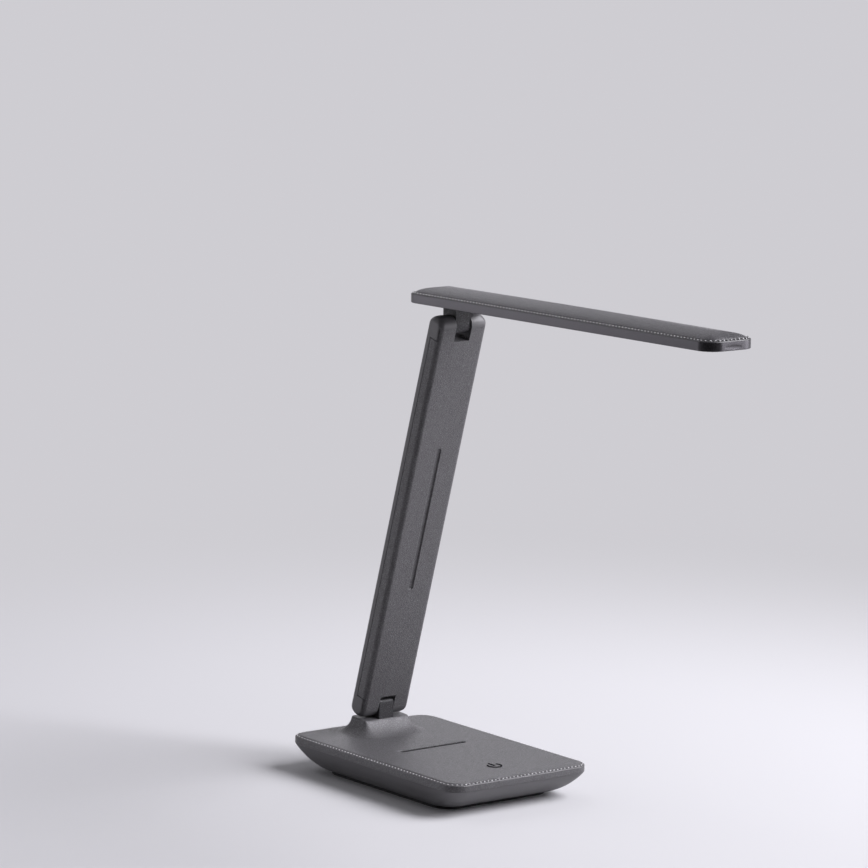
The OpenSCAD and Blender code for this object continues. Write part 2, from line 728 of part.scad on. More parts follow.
module base_wires() {
    cell_lead_x = [-board_w/2 + 5, -board_w/2 + 8];
    cell_rear = -ballast_y + cell_l/2;
    pad_y = board_y - board_l/2 + 2;
    solder_z = board_top + slide_fit;
    sensor_rear = hinge_back - sign_y + sensor_w/2;
    sensor_lead_z = cell_z + cell_t + 0.5;
    cell_lead_z = cell_z + cell_t/2;
    lamp_lead_z = board_top + 2.6;
    sensor_lead_x = sensor_w/2 - 2;
    lamp_lead_y = board_y - 3;
    color([0.65, 0.12, 0.1]) {
        // Touch sensor to board
        wire([[sensor_lead_x, sensor_rear + slide_fit, sensor_lead_z], [sensor_lead_x, pad_y, sensor_lead_z],
              [sensor_lead_x, pad_y, solder_z]], thin_lead_d);
        // Cell to board
        for (x = cell_lead_x)
            wire([[x, cell_rear + slide_fit, cell_lead_z], [x, pad_y, cell_lead_z], [x, pad_y, solder_z]],
                 power_lead_d);
        // Board to arm, up through the knuckle
        wire([[-1, lamp_lead_y, solder_z], [-1, lamp_lead_y, lamp_lead_z], [0, hinge_back, lamp_lead_z],
              [0, hinge_back, hinge_h - pin_d/2 - 0.4]], lead_d);
    }
}

// Arm

// The arm's outer form with its round ends, or its hollow when it is inset
module bar(inset) {
    w = arm_w - 2*inset;
    t = arm_t - 2*inset;
    end = arm_t/2 - inset;
    intersection() {
        translate([0, 0, -end]) linear_extrude(arm_span + 2*end)
            rounded(w, t, max(0.5, arm_edge_r - inset));
        translate([-w/2, 0, arm_span/2]) rotate([90, 0, 90]) linear_extrude(w)
            rounded(t, arm_span + 2*end, end - eps);
        translate([0, t, arm_span/2]) rotate([90, 0, 0]) linear_extrude(2*t)
            rounded(w, arm_span + 2*end, max(0.5, arm_corner_r - inset));
    }
}

module arm_ends() {
    children();
    translate([0, 0, arm_span]) mirror([0, 0, 1]) children();
}

module arm_body() {
    difference() {
        bar(0);
        difference() {
            bar(arm_wall);
            arm_ends() translate([-notch_w/2 - arm_wall, -arm_t, -arm_t])
                cube([notch_w + 2*arm_wall, 2*arm_t, arm_t + notch_depth + arm_wall]);
        }
        arm_ends() translate([-notch_w/2, -arm_t, -arm_t])
            cube([notch_w, 2*arm_t, arm_t + notch_depth]);
        arm_ends() rod_x(pin_d + 2*hole_fit, -notch_w/2 - arm_wall - 1, notch_w/2 + arm_wall + 1);
    }
}

// Side view of the front cover's zone; the step near each end leaves the round ends whole
module front_zone(gap) {
    translate([-arm_w, 0, 0]) rotate([90, 0, 90]) linear_extrude(2*arm_w)
        polygon([[-arm_t, gap], [skin_y - gap, gap], [skin_y - gap, part_step + gap],
                 [part_y - gap, part_step + gap], [part_y - gap, arm_span - part_step - gap],
                 [skin_y - gap, arm_span - part_step - gap], [skin_y - gap, arm_span - gap],
                 [-arm_t, arm_span - gap]]);
}

module arm_front_cover() {
    color(plastic) in_arm() difference() {
        intersection() {
            arm_body();
            front_zone(part_gap/2);
        }
        translate([0, -arm_t/2 + arm_groove_depth, arm_groove_from + arm_groove_l/2])
            rotate([90, 90, 0]) linear_extrude(2) slot2d(arm_groove_l, arm_groove_w);
    }
}

function spine_screw_z(i) = spine_screw_from + (arm_span - 2*spine_screw_from)*i/(spine_screws - 1);

module arm_rear_shell() {
    color(plastic_dark) in_arm() difference() {
        union() {
            difference() {
                arm_body();
                front_zone(-part_gap/2);
            }
            for (i = [0:spine_screws - 1]) translate([0, spine_front + spine_t, spine_screw_z(i)])
                rotate([-90, 0, 0])
                    cylinder(d = spine_boss_d, h = arm_t/2 - arm_wall - spine_front - spine_t + 0.3);
        }
        for (i = [0:spine_screws - 1]) translate([0, 0, spine_screw_z(i)])
            rotate([-90, 0, 0]) cylinder(d = spine_screw_d + 2*slide_fit, h = arm_t/2 - 0.9);
    }
}

module arm_spine() {
    plate_from = notch_depth + arm_wall + 0.5;
    color(steel) in_arm() difference() {
        union() {
            translate([-spine_w/2, spine_front, plate_from])
                cube([spine_w, spine_t, arm_span - 2*plate_from]);
            arm_ends() for (s = [-1, 1]) translate([s > 0 ? ear_x : -ear_out, 0, 0])
                rotate([90, 0, 90]) linear_extrude(ear_t) {
                    circle(ear_r);
                    translate([-ear_r, 0]) square([2*ear_r, plate_from + 6]);
                }
        }
        arm_ends() rod_x(pin_d + 2*slide_fit, -arm_w/2, arm_w/2);
        for (i = [0:spine_screws - 1]) translate([0, -arm_t/2, spine_screw_z(i)])
            rotate([-90, 0, 0]) cylinder(d = spine_screw_d + hole_fit, h = arm_t);
    }
}

module spine_screws_set() {
    color([0.6, 0.6, 0.62]) in_arm() for (i = [0:spine_screws - 1])
        translate([0, spine_front - spine_head_t - slide_fit, spine_screw_z(i)]) rotate([-90, 0, 0])
            screw_up(spine_head_d, spine_head_t, spine_screw_d, spine_screw_l);
}

// Pin, washers and nut of one hinge, round the X axis
module hinge_pin() {
    difference() {
        union() {
            rod_x(pin_d, -ear_out - slide_fit, pin_end);
            rod_x(pin_head_d, -ear_out - slide_fit - pin_head_t, -ear_out - slide_fit);
        }
        rod_x(pin_bore_d, -arm_w, arm_w);
    }
}

module hinge_washers() {
    bore = pin_d + 2*fit;
    for (i = [0:1]) {
        x0 = washer_x + i*(washer_t + slide_fit/2);
        washer_x_axis(pin_head_d, bore, x0, x0 + washer_t);
    }
    // Thin friction shims at both sides of the knuckle
    for (s = [-1, 1]) {
        x0 = knuckle_w/2 + slide_fit;
        x1 = notch_w/2 - slide_fit;
        washer_x_axis(pin_head_d, bore, s > 0 ? x0 : -x1, s > 0 ? x1 : -x0);
    }
}

module hinge_nut() {
    difference() {
        translate([nut_x, 0, 0]) rotate([0, 90, 0]) cylinder(d = pin_head_d + 0.6, h = nut_t, $fn = 6);
        rod_x(pin_d + 2*slide_fit, 0, arm_w);
    }
}

module lower_hinge_pin() { color(steel) in_arm() hinge_pin(); }
module lower_hinge_washers() { color(spring) in_arm() hinge_washers(); }
module lower_hinge_nut() { color(steel) in_arm() hinge_nut(); }
module upper_hinge_pin() { color(steel) in_arm() translate([0, 0, arm_span]) hinge_pin(); }
module upper_hinge_washers() { color(spring) in_arm() translate([0, 0, arm_span]) hinge_washers(); }
module upper_hinge_nut() { color(steel) in_arm() translate([0, 0, arm_span]) hinge_nut(); }

module arm_wire() {
    color([0.15, 0.15, 0.16]) in_arm()
        wire([[-2, 0, 0], [wire_x, 0, 0], [wire_x, 0, arm_span], [-2, 0, arm_span]], lead_d);
}

// Hub between arm and light bar

module hub_knuckle() {
    disc_low = head_gap - disc_t;
    reach = barrel_r + 2*head_gap;
    color(plastic) in_hub() difference() {
        union() {
            intersection() {
                translate([-knuckle_w/2, 0, 0]) rotate([90, 0, 90]) linear_extrude(knuckle_w) {
                    circle(barrel_r);
                    polygon([[-barrel_r, 0], [barrel_r, 0], [neck_rear, neck_rear - barrel_r],
                             [neck_rear, head_gap], [-barrel_r, head_gap]]);
                }
                translate([0, neck_rear + 1, -barrel_r]) rotate([90, 0, 0])
                    linear_extrude(neck_rear + barrel_r + 2)
                    translate([0, reach/2]) rounded(knuckle_w, reach, barrel_corner_r);
            }
            translate([0, 0, disc_low]) cylinder(d = disc_d, h = recess_top - slide_fit - disc_low);
            cylinder_from(disc_low, stem_top, stem_d);
        }
        rod_x(pin_d + 2*pin_run, -knuckle_w, knuckle_w);
        cylinder_from(0, stem_top + 1, stem_bore_d);
    }
}

module cylinder_from(z0, z1, d) {
    translate([0, 0, z0]) cylinder(d = d, h = z1 - z0);
}

module ring_from(z0, z1, d, bore) {
    difference() {
        cylinder_from(z0, z1, d);
        cylinder_from(z0 - 1, z1 + 1, bore);
    }
}

module wave_washer() {
    color(spring) in_hub()
        ring_from(wave_z, wave_z + wave_t - 0.01, swivel_nut_d - 1, stem_d + 2*fit);
}

module swivel_nut() {
    color(steel) in_hub()
        ring_from(swivel_nut_z, stem_top - 0.02, swivel_nut_d, stem_d + 2*slide_fit);
}

// Light bar

// Plan of the light bar, inset from its side wall
module head_plan(inset) {
    translate([0, head_rear - head_l/2])
        rounded(head_w - 2*inset, head_l - 2*inset, head_corner_r - inset);
}

module window_plan(lap, r) {
    translate([0, window_mid]) rounded(window_w + 2*lap, window_l + 2*lap, r);
}

module head_top_shell() {
    color(plastic) in_head() difference() {
        translate([0, 0, head_gap]) linear_extrude(head_wall_h) head_plan(0);
        difference() {
            translate([0, 0, head_gap - 1]) linear_extrude(head_wall_h - deck_t + 1) head_plan(head_wall);
            four(head_screw_x, head_screw_y) cylinder_from(bearing_top, head_top, head_screw_d + 2.4);
        }
        four(head_screw_x, head_screw_y)
            cylinder_from(bearing_top - 1, head_deck + 0.4, head_screw_d + 2*slide_fit);
        // Way for the lamp lead over the swivel nut
        translate([0, lead_slot_y, head_deck - 1]) linear_extrude(deck_t + 2)
            rotate(90) slot2d(lead_slot_l, lead_slot_w);
    }
}

module head_pad() {
    edge = ledge_w + pad_edge;
    half_w = head_w/2 - edge;
    color([0.4, 0.39, 0.4]) in_head() translate([0, head_rear - head_l/2, 0])
        loft(concat(
            [ring(head_w - 2*edge, head_l - 2*edge, head_corner_r - edge, head_top + 0.02)],
            [for (share = [0, 0.01, 0.05, 0.14, 0.3, 0.5, 0.75, 0.95]) let (inset = edge + half_w*share)
                ring(head_w - 2*inset, head_l - 2*inset, max(0.5, head_corner_r - inset),
                     head_top + pad_edge_h + (pad_crown - pad_edge_h)*crown(share))]));
}

module head_bottom_cover() {
    color(plastic_dark) in_head() difference() {
        union() {
            translate([0, 0, head_gap]) linear_extrude(cover_t) head_plan(cover_inset);
            cylinder_from(head_gap, cover_boss_top, recess_d + 2*recess_wall);
            four(head_screw_x, head_screw_y) cylinder_from(head_gap, cover_boss_top, head_screw_head_d + 2);
            // Rails that keep the light guide and the strips in place
            for (s = [-1, 1])
                translate([s*(strip_x + strip_t + 0.7) - rail_t/2, window_mid - diffuser_l/2, head_gap])
                    cube([rail_t, diffuser_l, guide_z - head_gap + 1.5]);
        }
        cylinder_from(head_gap - 1, recess_top, recess_d);
        cylinder_from(head_gap, head_top, stem_d + 2*slide_fit);
        four(head_screw_x, head_screw_y) {
            cylinder_from(head_gap - 1, head_gap + head_screw_head_t + 0.3, head_screw_head_d + 0.8);
            cylinder_from(head_gap, head_top, head_screw_d + hole_fit);
        }
        translate([0, 0, head_gap - 1]) linear_extrude(cover_t + 2) window_plan(0, window_r);
        translate([0, 0, diffuser_z - fit/2]) linear_extrude(cover_t + 2)
            window_plan(window_lap + fit, window_r);
    }
}

module diffuser() {
    color([0.93, 0.93, 0.95]) in_head() translate([0, 0, diffuser_z]) linear_extrude(diffuser_t - 0.02)
        window_plan(window_lap, window_r);
}

module light_guide() {
    color([0.85, 0.9, 0.95]) in_head() translate([0, window_mid, guide_z + guide_t/2])
        cube([guide_w, window_l + 1, guide_t - 0.02], center = true);
}

module reflector() {
    color([0.97, 0.97, 0.97]) in_head() translate([0, window_mid, reflector_z + reflector_t/2])
        cube([guide_w + 1, window_l + 1, reflector_t], center = true);
}

module led_strips() {
    color([0.85, 0.85, 0.8]) in_head() for (s = [-1, 1])
        translate([s > 0 ? strip_x : -strip_x - strip_t, window_mid - window_l/2, guide_z + 0.02])
            cube([strip_t, window_l, guide_t - 0.04]);
}

module leds() {
    pitch = window_l/led_count;
    color([0.98, 0.9, 0.5]) in_head() for (s = [-1, 1]) for (i = [0:led_count - 1])
        translate([s*(guide_w/2 + slide_fit + led_depth/2), window_mid + (i - (led_count - 1)/2)*pitch,
                   guide_z + guide_t/2])
            cube([led_depth, led_l, led_h], center = true);
}

module bearing_plate() {
    color(steel) in_head() difference() {
        translate([0, 0, cover_boss_top + 0.01]) linear_extrude(bearing_t - 0.02)
            rounded(2*head_screw_x + 7, 2*head_screw_y + 7, 3);
        cylinder_from(cover_boss_top - 1, bearing_top + 1, stem_d + 2*slide_fit);
        four(head_screw_x, head_screw_y)
            cylinder_from(cover_boss_top - 1, bearing_top + 1, head_screw_d + hole_fit);
    }
}

module head_screws() {
    color([0.75, 0.75, 0.77]) in_head() four(head_screw_x, head_screw_y)
        translate([0, 0, head_gap + 0.3]) difference() {
            screw_up(head_screw_head_d, head_screw_head_t, head_screw_d, head_screw_l);
            for (turn = [0, 90]) rotate(turn) translate([-1.1, -0.2, -1]) cube([2.2, 0.4, 1.45]);
        }
}

module head_wire() {
    slot_z = head_deck + deck_t/2;
    low_z = bearing_top + power_lead_d/2 + 0.1;
    strip_mid = -strip_x - strip_t/2;
    drop_y = -14;
    turn_y = -25;
    color([0.15, 0.15, 0.16]) in_head()
        wire([[0, 0, pin_d/2 + 1], [0, 0, slot_z], [0, drop_y, slot_z], [0, drop_y, low_z],
              [0, turn_y, low_z], [strip_mid, turn_y, low_z], [strip_mid, slide_fit - window_from, low_z]],
             power_lead_d);
}

base_top_cover();
base_bottom_shell();
foot_pad();
ballast_plate();
ballast_screws();
battery_cell();
cell_foam();
control_board();
charging_socket();
charge_light_pipe();
touch_sensor();
power_sign();
base_knuckle();
knuckle_screws();
base_screws();
base_wires();
arm_front_cover();
arm_rear_shell();
arm_spine();
spine_screws_set();
lower_hinge_pin();
lower_hinge_washers();
lower_hinge_nut();
upper_hinge_pin();
upper_hinge_washers();
upper_hinge_nut();
arm_wire();
hub_knuckle();
wave_washer();
swivel_nut();
head_bottom_cover();
head_top_shell();
head_pad();
diffuser();
light_guide();
reflector();
led_strips();
leds();
bearing_plate();
head_screws();
head_wire();
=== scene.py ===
# %% [markdown]
# Folding LED desk lamp
#
# This notebook dresses the lamp's engineering model. The model gives every solid at its real
# place, in metres, and the joints that they turn on. Here each surface gets the form and the
# finish that the eye sees: soft moulded edges, grained covers, thread, rubber, steel and opal.
#
# The outer covers are modelled again, because their charm is in what a construction model leaves
# out: edges that roll over instead of stopping, and a padded top that swells. Hidden and small
# pieces keep their solids and only get a broken edge and a material.

# %% Load the model and read its joints
import json
import math

import bmesh
import bpy
from mathutils import Matrix, Vector


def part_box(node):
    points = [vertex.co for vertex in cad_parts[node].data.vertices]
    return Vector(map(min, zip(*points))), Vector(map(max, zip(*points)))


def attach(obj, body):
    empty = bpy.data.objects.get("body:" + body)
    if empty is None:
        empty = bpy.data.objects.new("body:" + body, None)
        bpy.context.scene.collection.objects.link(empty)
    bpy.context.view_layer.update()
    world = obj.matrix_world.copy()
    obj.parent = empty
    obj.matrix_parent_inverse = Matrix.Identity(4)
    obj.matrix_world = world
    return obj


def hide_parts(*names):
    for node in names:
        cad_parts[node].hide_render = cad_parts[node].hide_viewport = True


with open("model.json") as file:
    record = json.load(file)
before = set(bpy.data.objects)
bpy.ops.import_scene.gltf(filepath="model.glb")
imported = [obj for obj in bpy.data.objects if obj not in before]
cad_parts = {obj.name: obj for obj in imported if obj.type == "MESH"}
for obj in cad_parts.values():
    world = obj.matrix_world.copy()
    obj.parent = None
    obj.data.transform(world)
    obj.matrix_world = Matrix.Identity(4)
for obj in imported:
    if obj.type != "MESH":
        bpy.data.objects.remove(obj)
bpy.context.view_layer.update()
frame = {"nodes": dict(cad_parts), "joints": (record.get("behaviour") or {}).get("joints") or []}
nodes = frame["nodes"]

MM = 0.001
joints = {joint["name"]: joint for joint in frame["joints"]}
hinge = Vector(joints["arm_fold"]["pos_m"])
elbow = Vector(joints["head_tilt"]["pos_m"])
swivel = Vector(joints["head_swivel"]["axis"])
arm_span = (elbow - hinge).length / MM
arm_lean = math.atan2(hinge.y - elbow.y, elbow.z - hinge.z)
head_lean = math.atan2(-swivel.y, swivel.z)
head_turn = math.radians(-1.3)
base_place = Matrix.Scale(MM, 4)
arm_place = Matrix.Translation(hinge) @ Matrix.Rotation(arm_lean, 4, "X") @ base_place
head_place = (Matrix.Translation(elbow) @ Matrix.Rotation(head_lean, 4, "X")
              @ Matrix.Rotation(head_turn, 4, "Z") @ base_place)
print(f"arm {arm_span:.1f} mm long, leaning {math.degrees(arm_lean):.1f} degrees")

# %% [markdown]
# Lofts
#
# Most covers of this lamp are rounded rectangles that change a little from layer to layer. So the
# main tool is a loft: a list of rings with equally many points, joined into one closed skin. A ring
# comes from one outline and an inset, which is how far it lies inside that outline. Going down the
# inside of a wall, out under its edge and up the outside again gives a tray with a real thickness.

# %% Rings
fewest_bend_steps = 4


def arc(first, last, steps):
    """Evenly spaced angles, from first to last in degrees, as radians."""
    return [math.radians(first + (last - first) * k / steps) for k in range(steps + 1)]


def bends(width, length, radius, steps, middle=(0, 0)):
    """The four corners of a rounded rectangle, anticlockwise, each a list of (x, y, turn)."""
    corners = []
    for quarter in range(4):
        side_x = 1 if quarter in (0, 3) else -1
        side_y = 1 if quarter < 2 else -1
        corners.append([(middle[0] + side_x * (width / 2 - radius) + radius * math.cos(turn),
                         middle[1] + side_y * (length / 2 - radius) + radius * math.sin(turn), turn)
                        for turn in arc(90 * quarter, 90 * (quarter + 1), steps)])
    return corners


def all_round(width, length, radius, bend_steps, long_steps, short_steps):
    """Points round a rounded rectangle as (x, y, turn), on its corners and along its sides."""
    points = []
    for quarter, corner in enumerate(bends(width, length, radius, bend_steps)):
        points += corner
        run = (length if quarter % 2 else width) - 2 * radius
        steps = long_steps if quarter % 2 else short_steps
        x, y, turn = corner[-1]
        for k in range(1, steps):
            far = run * k / steps
            points.append((x - math.sin(turn) * far, y + math.cos(turn) * far, turn))
    return points


def outline(width, length, radius, step):
    """Points round a rounded rectangle as (x, y, outward x, outward y), about one step apart."""
    bend_steps = max(fewest_bend_steps, math.ceil(radius * math.pi / 2 / step))
    long_steps = max(1, math.ceil((length - 2 * radius) / step))
    short_steps = max(1, math.ceil((width - 2 * radius) / step))
    return [(x, y, math.cos(turn), math.sin(turn))
            for x, y, turn in all_round(width, length, radius, bend_steps, long_steps, short_steps)]


def inset_ring(points, inset, z, middle=(0, 0)):
    """The outline moved inwards by inset, at height z."""
    return [(middle[0] + x - inset * out_x, middle[1] + y - inset * out_y, z)
            for x, y, out_x, out_y in points]


def ring(width, length, radius, z, steps=10, middle=(0, 0)):
    """A rounded rectangle whose points sit only on its corners."""
    return [(x, y, z) for corner in bends(width, length, radius, steps, middle) for x, y, _ in corner]


print(len(outline(40, 20, 5, 1)), "points round 40 x 20 mm, with a step of 1 mm")

# %% [markdown]
# From rings to a skin
#
# The skin is made face by face: every two neighbouring rings are joined by a band of four-sided
# faces. A closed solid gets a cap at both ends. A hollow band has none, because there its last ring
# is joined to its first.

# %% Lofts


def new_object(name, mesh):
    """An object for a mesh, in the scene."""
    made = bpy.data.objects.new(name, mesh)
    bpy.context.scene.collection.objects.link(made)
    return made


def loft(name, rings, capped=True):
    """One skin through the rings, which are counted anticlockwise from above."""
    count = len(rings[0])
    last = (len(rings) - 1) * count
    faces = [list(range(count))[::-1], list(range(last, last + count))] if capped else []
    layers = range(len(rings) - 1 if capped else len(rings))
    for i in layers:
        low, high = i * count, (i + 1) % len(rings) * count
        for j in range(count):
            k = (j + 1) % count
            faces.append((low + j, low + k, high + k, high + j))
    mesh = bpy.data.meshes.new(name)
    mesh.from_pydata([point for one in rings for point in one], [], faces)
    return new_object(name, mesh)


def block(name, low, high):
    """A box between two corners."""
    corners = [(x, y, z) for z in (low[2], high[2]) for x, y in
               ((low[0], low[1]), (high[0], low[1]), (high[0], high[1]), (low[0], high[1]))]
    return loft(name, [corners[:4], corners[4:]])

# %% [markdown]
# Cutting and softening
#
# Openings are cut with solid cutters, as a mill would. Then one pass softens every piece: sharp
# edges get a small bevel, and the normals are weighted by face area, so that flat faces stay flat
# and only the thin bevels carry the highlight. That narrow highlight is what makes a hard edge look
# moulded.

# %% Cutting, softening and placing


def settle(piece):
    """Turns a piece's modifiers into its mesh."""
    graph = bpy.context.evaluated_depsgraph_get()
    mesh = bpy.data.meshes.new_from_object(piece.evaluated_get(graph))
    old = piece.data
    piece.modifiers.clear()
    piece.data = mesh
    bpy.data.meshes.remove(old)
    return piece


def carve(solid, cutters, operation="DIFFERENCE"):
    """Cuts the cutters from the solid, or adds or keeps them, and removes them."""
    for cutter in cutters:
        cut = solid.modifiers.new("carve", "BOOLEAN")
        cut.operation = operation
        cut.solver = "EXACT"
        cut.object = cutter
    settle(solid)
    for cutter in cutters:
        bpy.data.objects.remove(cutter)
    return solid


def soften(piece, width, angle=40, segments=2):
    """Bevels the edges that are sharper than angle, and shades the piece smooth."""
    if width:
        bevel = piece.modifiers.new("soft edges", "BEVEL")
        bevel.width = width
        bevel.segments = segments
        bevel.limit_method = "ANGLE"
        bevel.angle_limit = math.radians(angle)
        bevel.use_clamp_overlap = True
        settle(piece)
    piece.data.shade_smooth()
    piece.data.set_sharp_from_angle(angle=math.radians(angle))
    weigh = piece.modifiers.new("even normals", "WEIGHTED_NORMAL")
    weigh.keep_sharp = True
    return settle(piece)


def seat(piece, place, body, finish, replaced=()):
    """Moves a piece's mesh to its place on the lamp, gives it its finish and body, hides what it replaces.
    """
    piece.data.transform(place)
    piece.data.materials.clear()
    piece.data.materials.append(finish)
    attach(piece, body)
    if replaced:
        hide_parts(*replaced)
    print(piece.name, len(piece.data.polygons), "faces")
    return piece


# %% [markdown]
# Writing finishes as expressions
#
# A material is a small calculation: a pattern, some arithmetic, and a few sockets that it feeds.
# Wire wraps a node's output, so that the arithmetic can be written as arithmetic: each sign adds
# the Math node that does it.

# %% Wires with arithmetic


def feed(tree, socket, value):
    """Links a wire to a socket, or sets the socket's own value."""
    if isinstance(value, Wire):
        tree.links.new(value.socket, socket)
    else:
        socket.default_value = value


class Wire:
    """A node's output with arithmetic."""

    def __init__(self, tree, socket):
        self.tree = tree
        self.socket = socket

    def other(self, out):
        """Another output of the same node."""
        return Wire(self.tree, self.socket.node.outputs[out])

    def maths(self, operation, first, second):
        """Adds a Math node."""
        made = self.tree.nodes.new("ShaderNodeMath")
        made.operation = operation
        feed(self.tree, made.inputs[0], first)
        feed(self.tree, made.inputs[1], second)
        return Wire(self.tree, made.outputs[0])

    def __add__(self, other):
        return self.maths("ADD", self, other)

    def __sub__(self, other):
        return self.maths("SUBTRACT", self, other)

    def __rsub__(self, other):
        return self.maths("SUBTRACT", other, self)

    def __mul__(self, other):
        return self.maths("MULTIPLY", self, other)

    __radd__ = __add__
    __rmul__ = __mul__


# %% [markdown]
# One class for a finish
#
# Finish holds one material round Blender's principled shader. Its method node adds any other node by
# its type, its settings and what its sockets get. The other methods are the few steps that nearly
# every finish of this lamp takes: a soft noise, a mix of two colours, a range and a bump. All of them
# read the piece's own coordinates, so that no pattern slides when the lamp moves.

# %% Finish


class Finish:
    """One material with its principled shader."""

    def __init__(self, name, colour, rough, metal=0.0):
        self.material = bpy.data.materials.new(name)
        self.material.use_nodes = True
        self.material.diffuse_color = (*colour, 1)
        self.tree = self.material.node_tree
        self.shader = self.tree.nodes["Principled BSDF"]
        self.colour = (*colour, 1)
        self.set("Base Color", self.colour)
        self.set("Roughness", rough)
        self.set("Metallic", metal)
        self.place = self.node("TexCoord", out="Object")

    def set(self, socket, value):
        """Gives a shader socket a value or a wire."""
        feed(self.tree, self.shader.inputs[socket], value)

    def vary(self, socket, factor, low, high):
        """Lets a shader socket run from low to high as the factor goes from 0 to 1."""
        self.set(socket, low + (high - low) * factor)

    def node(self, kind, settings=(), out=0, **sockets):
        """Adds a node. Sockets go by identifier, or by name with _ for each space."""
        made = self.tree.nodes.new("ShaderNode" + kind)
        for key, value in dict(settings).items():
            setattr(made, key, value)
        for key, value in sockets.items():
            socket = next(one for one in made.inputs
                          if key in (one.identifier, one.name.replace(" ", "_")))
            feed(self.tree, socket, value)
        return Wire(self.tree, made.outputs[out])

    def noise(self, size, detail=2.0, place=None):
        """Soft noise with features about size millimetres across, from 0 to 1."""
        return self.node("TexNoise", Vector=place or self.place, Scale=1 / (size * MM), Detail=detail)

    def blend(self, factor, first, second):
        """A colour between two others."""
        return self.node("Mix", {"data_type": "RGBA"}, 2, Factor_Float=factor, A_Color=first,
                         B_Color=second)

    def span(self, value, low, high, way="LINEAR"):
        """Value stretched from one range to 0 and 1, and kept inside it."""
        return self.node("MapRange", {"clamp": True, "interpolation_type": way}, Value=value,
                         From_Min=low, From_Max=high)

    def relief(self, height, depth):
        """Bumps the surface by height times depth, in millimetres."""
        self.set("Normal", self.node("Bump", Height=height, Strength=1.0, Distance=depth * MM))


def shade(colour, factor):
    """A colour made lighter or darker."""
    return (*[channel * factor for channel in colour[:3]], 1)


# %% [markdown]
# Grained covers
#
# The top of the base, the arm's front and the light bar's pad look like fine leather: pebbles just
# under a millimetre across with soft creases between them. Cell noise gives the pebbles, and a slow
# distortion of its coordinates keeps them from looking like a net. The creases are a little darker
# and duller than the pebbles' tops. Fine flecks of mica in the coat glint as the eye moves, so a
# small noise gives some spots a share of metal.
#
# The groove across the base gets painted shade. A mask finds it by its distance from the hinge and
# its depth below the field, and there darkens the skin's colour as painted shade and dulls it.

# %% Leather grain
cover_gloss = 0.62
crease_shade, pebble_shade = 0.55, 1.2
mica_tint = (0.325, 0.32, 0.338, 1)
mica_size, mica_from, mica_full = 0.5, 0.58, 0.70
patch_size, dust_size = 14, 0.18
groove_half_near, groove_half_far = 3.2, 3.6
# the share of colour left in the groove as painted shade, and how much duller the groove is
groove_painted_shade, groove_dull = 0.1, 0.6


def groove_painted_shade_mask(finish, along, low, high):
    """0 in the groove with painted shade and 1 outside, from its distance to the hinge and two heights, in
    mm.
    """
    height = finish.node("SeparateXYZ", out="Z", Vector=finish.place)
    away = height.other("Y") - (hinge.y + along * MM)
    beside = finish.span(away.maths("ABSOLUTE", away, 0.0), groove_half_near * MM, groove_half_far * MM)
    return beside.maths("MAXIMUM", beside, finish.span(height, low * MM, high * MM))


def leather(name, colour, rough, pebble, depth, flake, groove_at=None, gloss=cover_gloss):
    """Leather grain: pebble size and depth in mm, share of mica, and place of a groove with painted shade.
    """
    finish = Finish(name, colour, rough)
    finish.set("Specular IOR Level", gloss)
    drift = finish.node("TexNoise", out=1, Vector=finish.place, Scale=1 / (2.2 * pebble * MM), Detail=2.0)
    wander = finish.node("VectorMath", {"operation": "MULTIPLY_ADD"}, Vector=drift,
                         Vector_001=(pebble * MM,) * 3, Vector_002=finish.place)
    crease = finish.node("TexVoronoi", {"feature": "DISTANCE_TO_EDGE"}, Vector=wander,
                         Scale=1 / (pebble * MM))
    top = finish.span(crease, 0.0, 0.3)
    patch = finish.noise(patch_size, 3.0)
    grain = finish.blend(top * 0.8 + patch * 0.2, shade(colour, crease_shade), shade(colour, pebble_shade))
    dull = 0.0
    if groove_at:
        # painted shade: inside the groove the colour is darkened to a tenth, and the skin is dulled
        open_field = groove_painted_shade_mask(finish, *groove_at)
        grain = finish.blend(open_field, shade(colour, groove_painted_shade), grain)
        dull = (1 - open_field) * groove_dull
    mica = finish.span(finish.noise(mica_size, 1.0), mica_from, mica_full) * flake
    finish.set("Metallic", mica)
    finish.set("Base Color", finish.blend(mica, grain, mica_tint))
    finish.set("Roughness", rough + 0.1 - 0.14 * top + 0.05 * patch + dull)
    finish.relief(top + 0.25 * finish.noise(dust_size), depth)
    return finish.material

# %% [markdown]
# Smooth mouldings
#
# The arm's rear and the base's lower shell are satin plastic with a spark-eroded texture, much finer
# than the leather. Seen from a step away it only softens the reflections, so it is a shallow fine
# noise and a slight unevenness of the gloss.

# %% Satin plastic
eroded_size, eroded_depth = 0.22, 0.008
cloud_size = 25


def satin(name, colour, rough):
    """Satin moulding with a fine eroded texture."""
    finish = Finish(name, colour, rough)
    finish.set("Specular IOR Level", cover_gloss)
    fine = finish.noise(eroded_size, 3.0)
    cloud = finish.noise(cloud_size, 2.0)
    finish.set("Base Color", finish.blend(cloud, shade(colour, 0.92), shade(colour, 1.08)))
    finish.set("Roughness", rough - 0.04 + 0.05 * cloud + 0.03 * fine)
    finish.relief(fine, eroded_depth)
    return finish.material


# %% [markdown]
# Rubber, metal, opal and thread
#
# The other finishes are as short. Rubber is matt and dusty in patches. Metal has turning marks, which
# are a noise stretched along one direction. Opal plastic is white with a faint cloud in it. Thread
# shows its twist as slanting bands.

# %% Rubber and metal


def rubber(name, colour):
    """Matt rubber with a dusty bloom."""
    finish = Finish(name, colour, 0.85)
    dust = finish.noise(3, 4.0)
    finish.set("Base Color", finish.blend(dust, colour + (1,), shade(colour, 1.6)))
    finish.vary("Roughness", dust, 0.78, 0.92)
    finish.relief(finish.noise(0.35, 3.0), 0.02)
    return finish.material


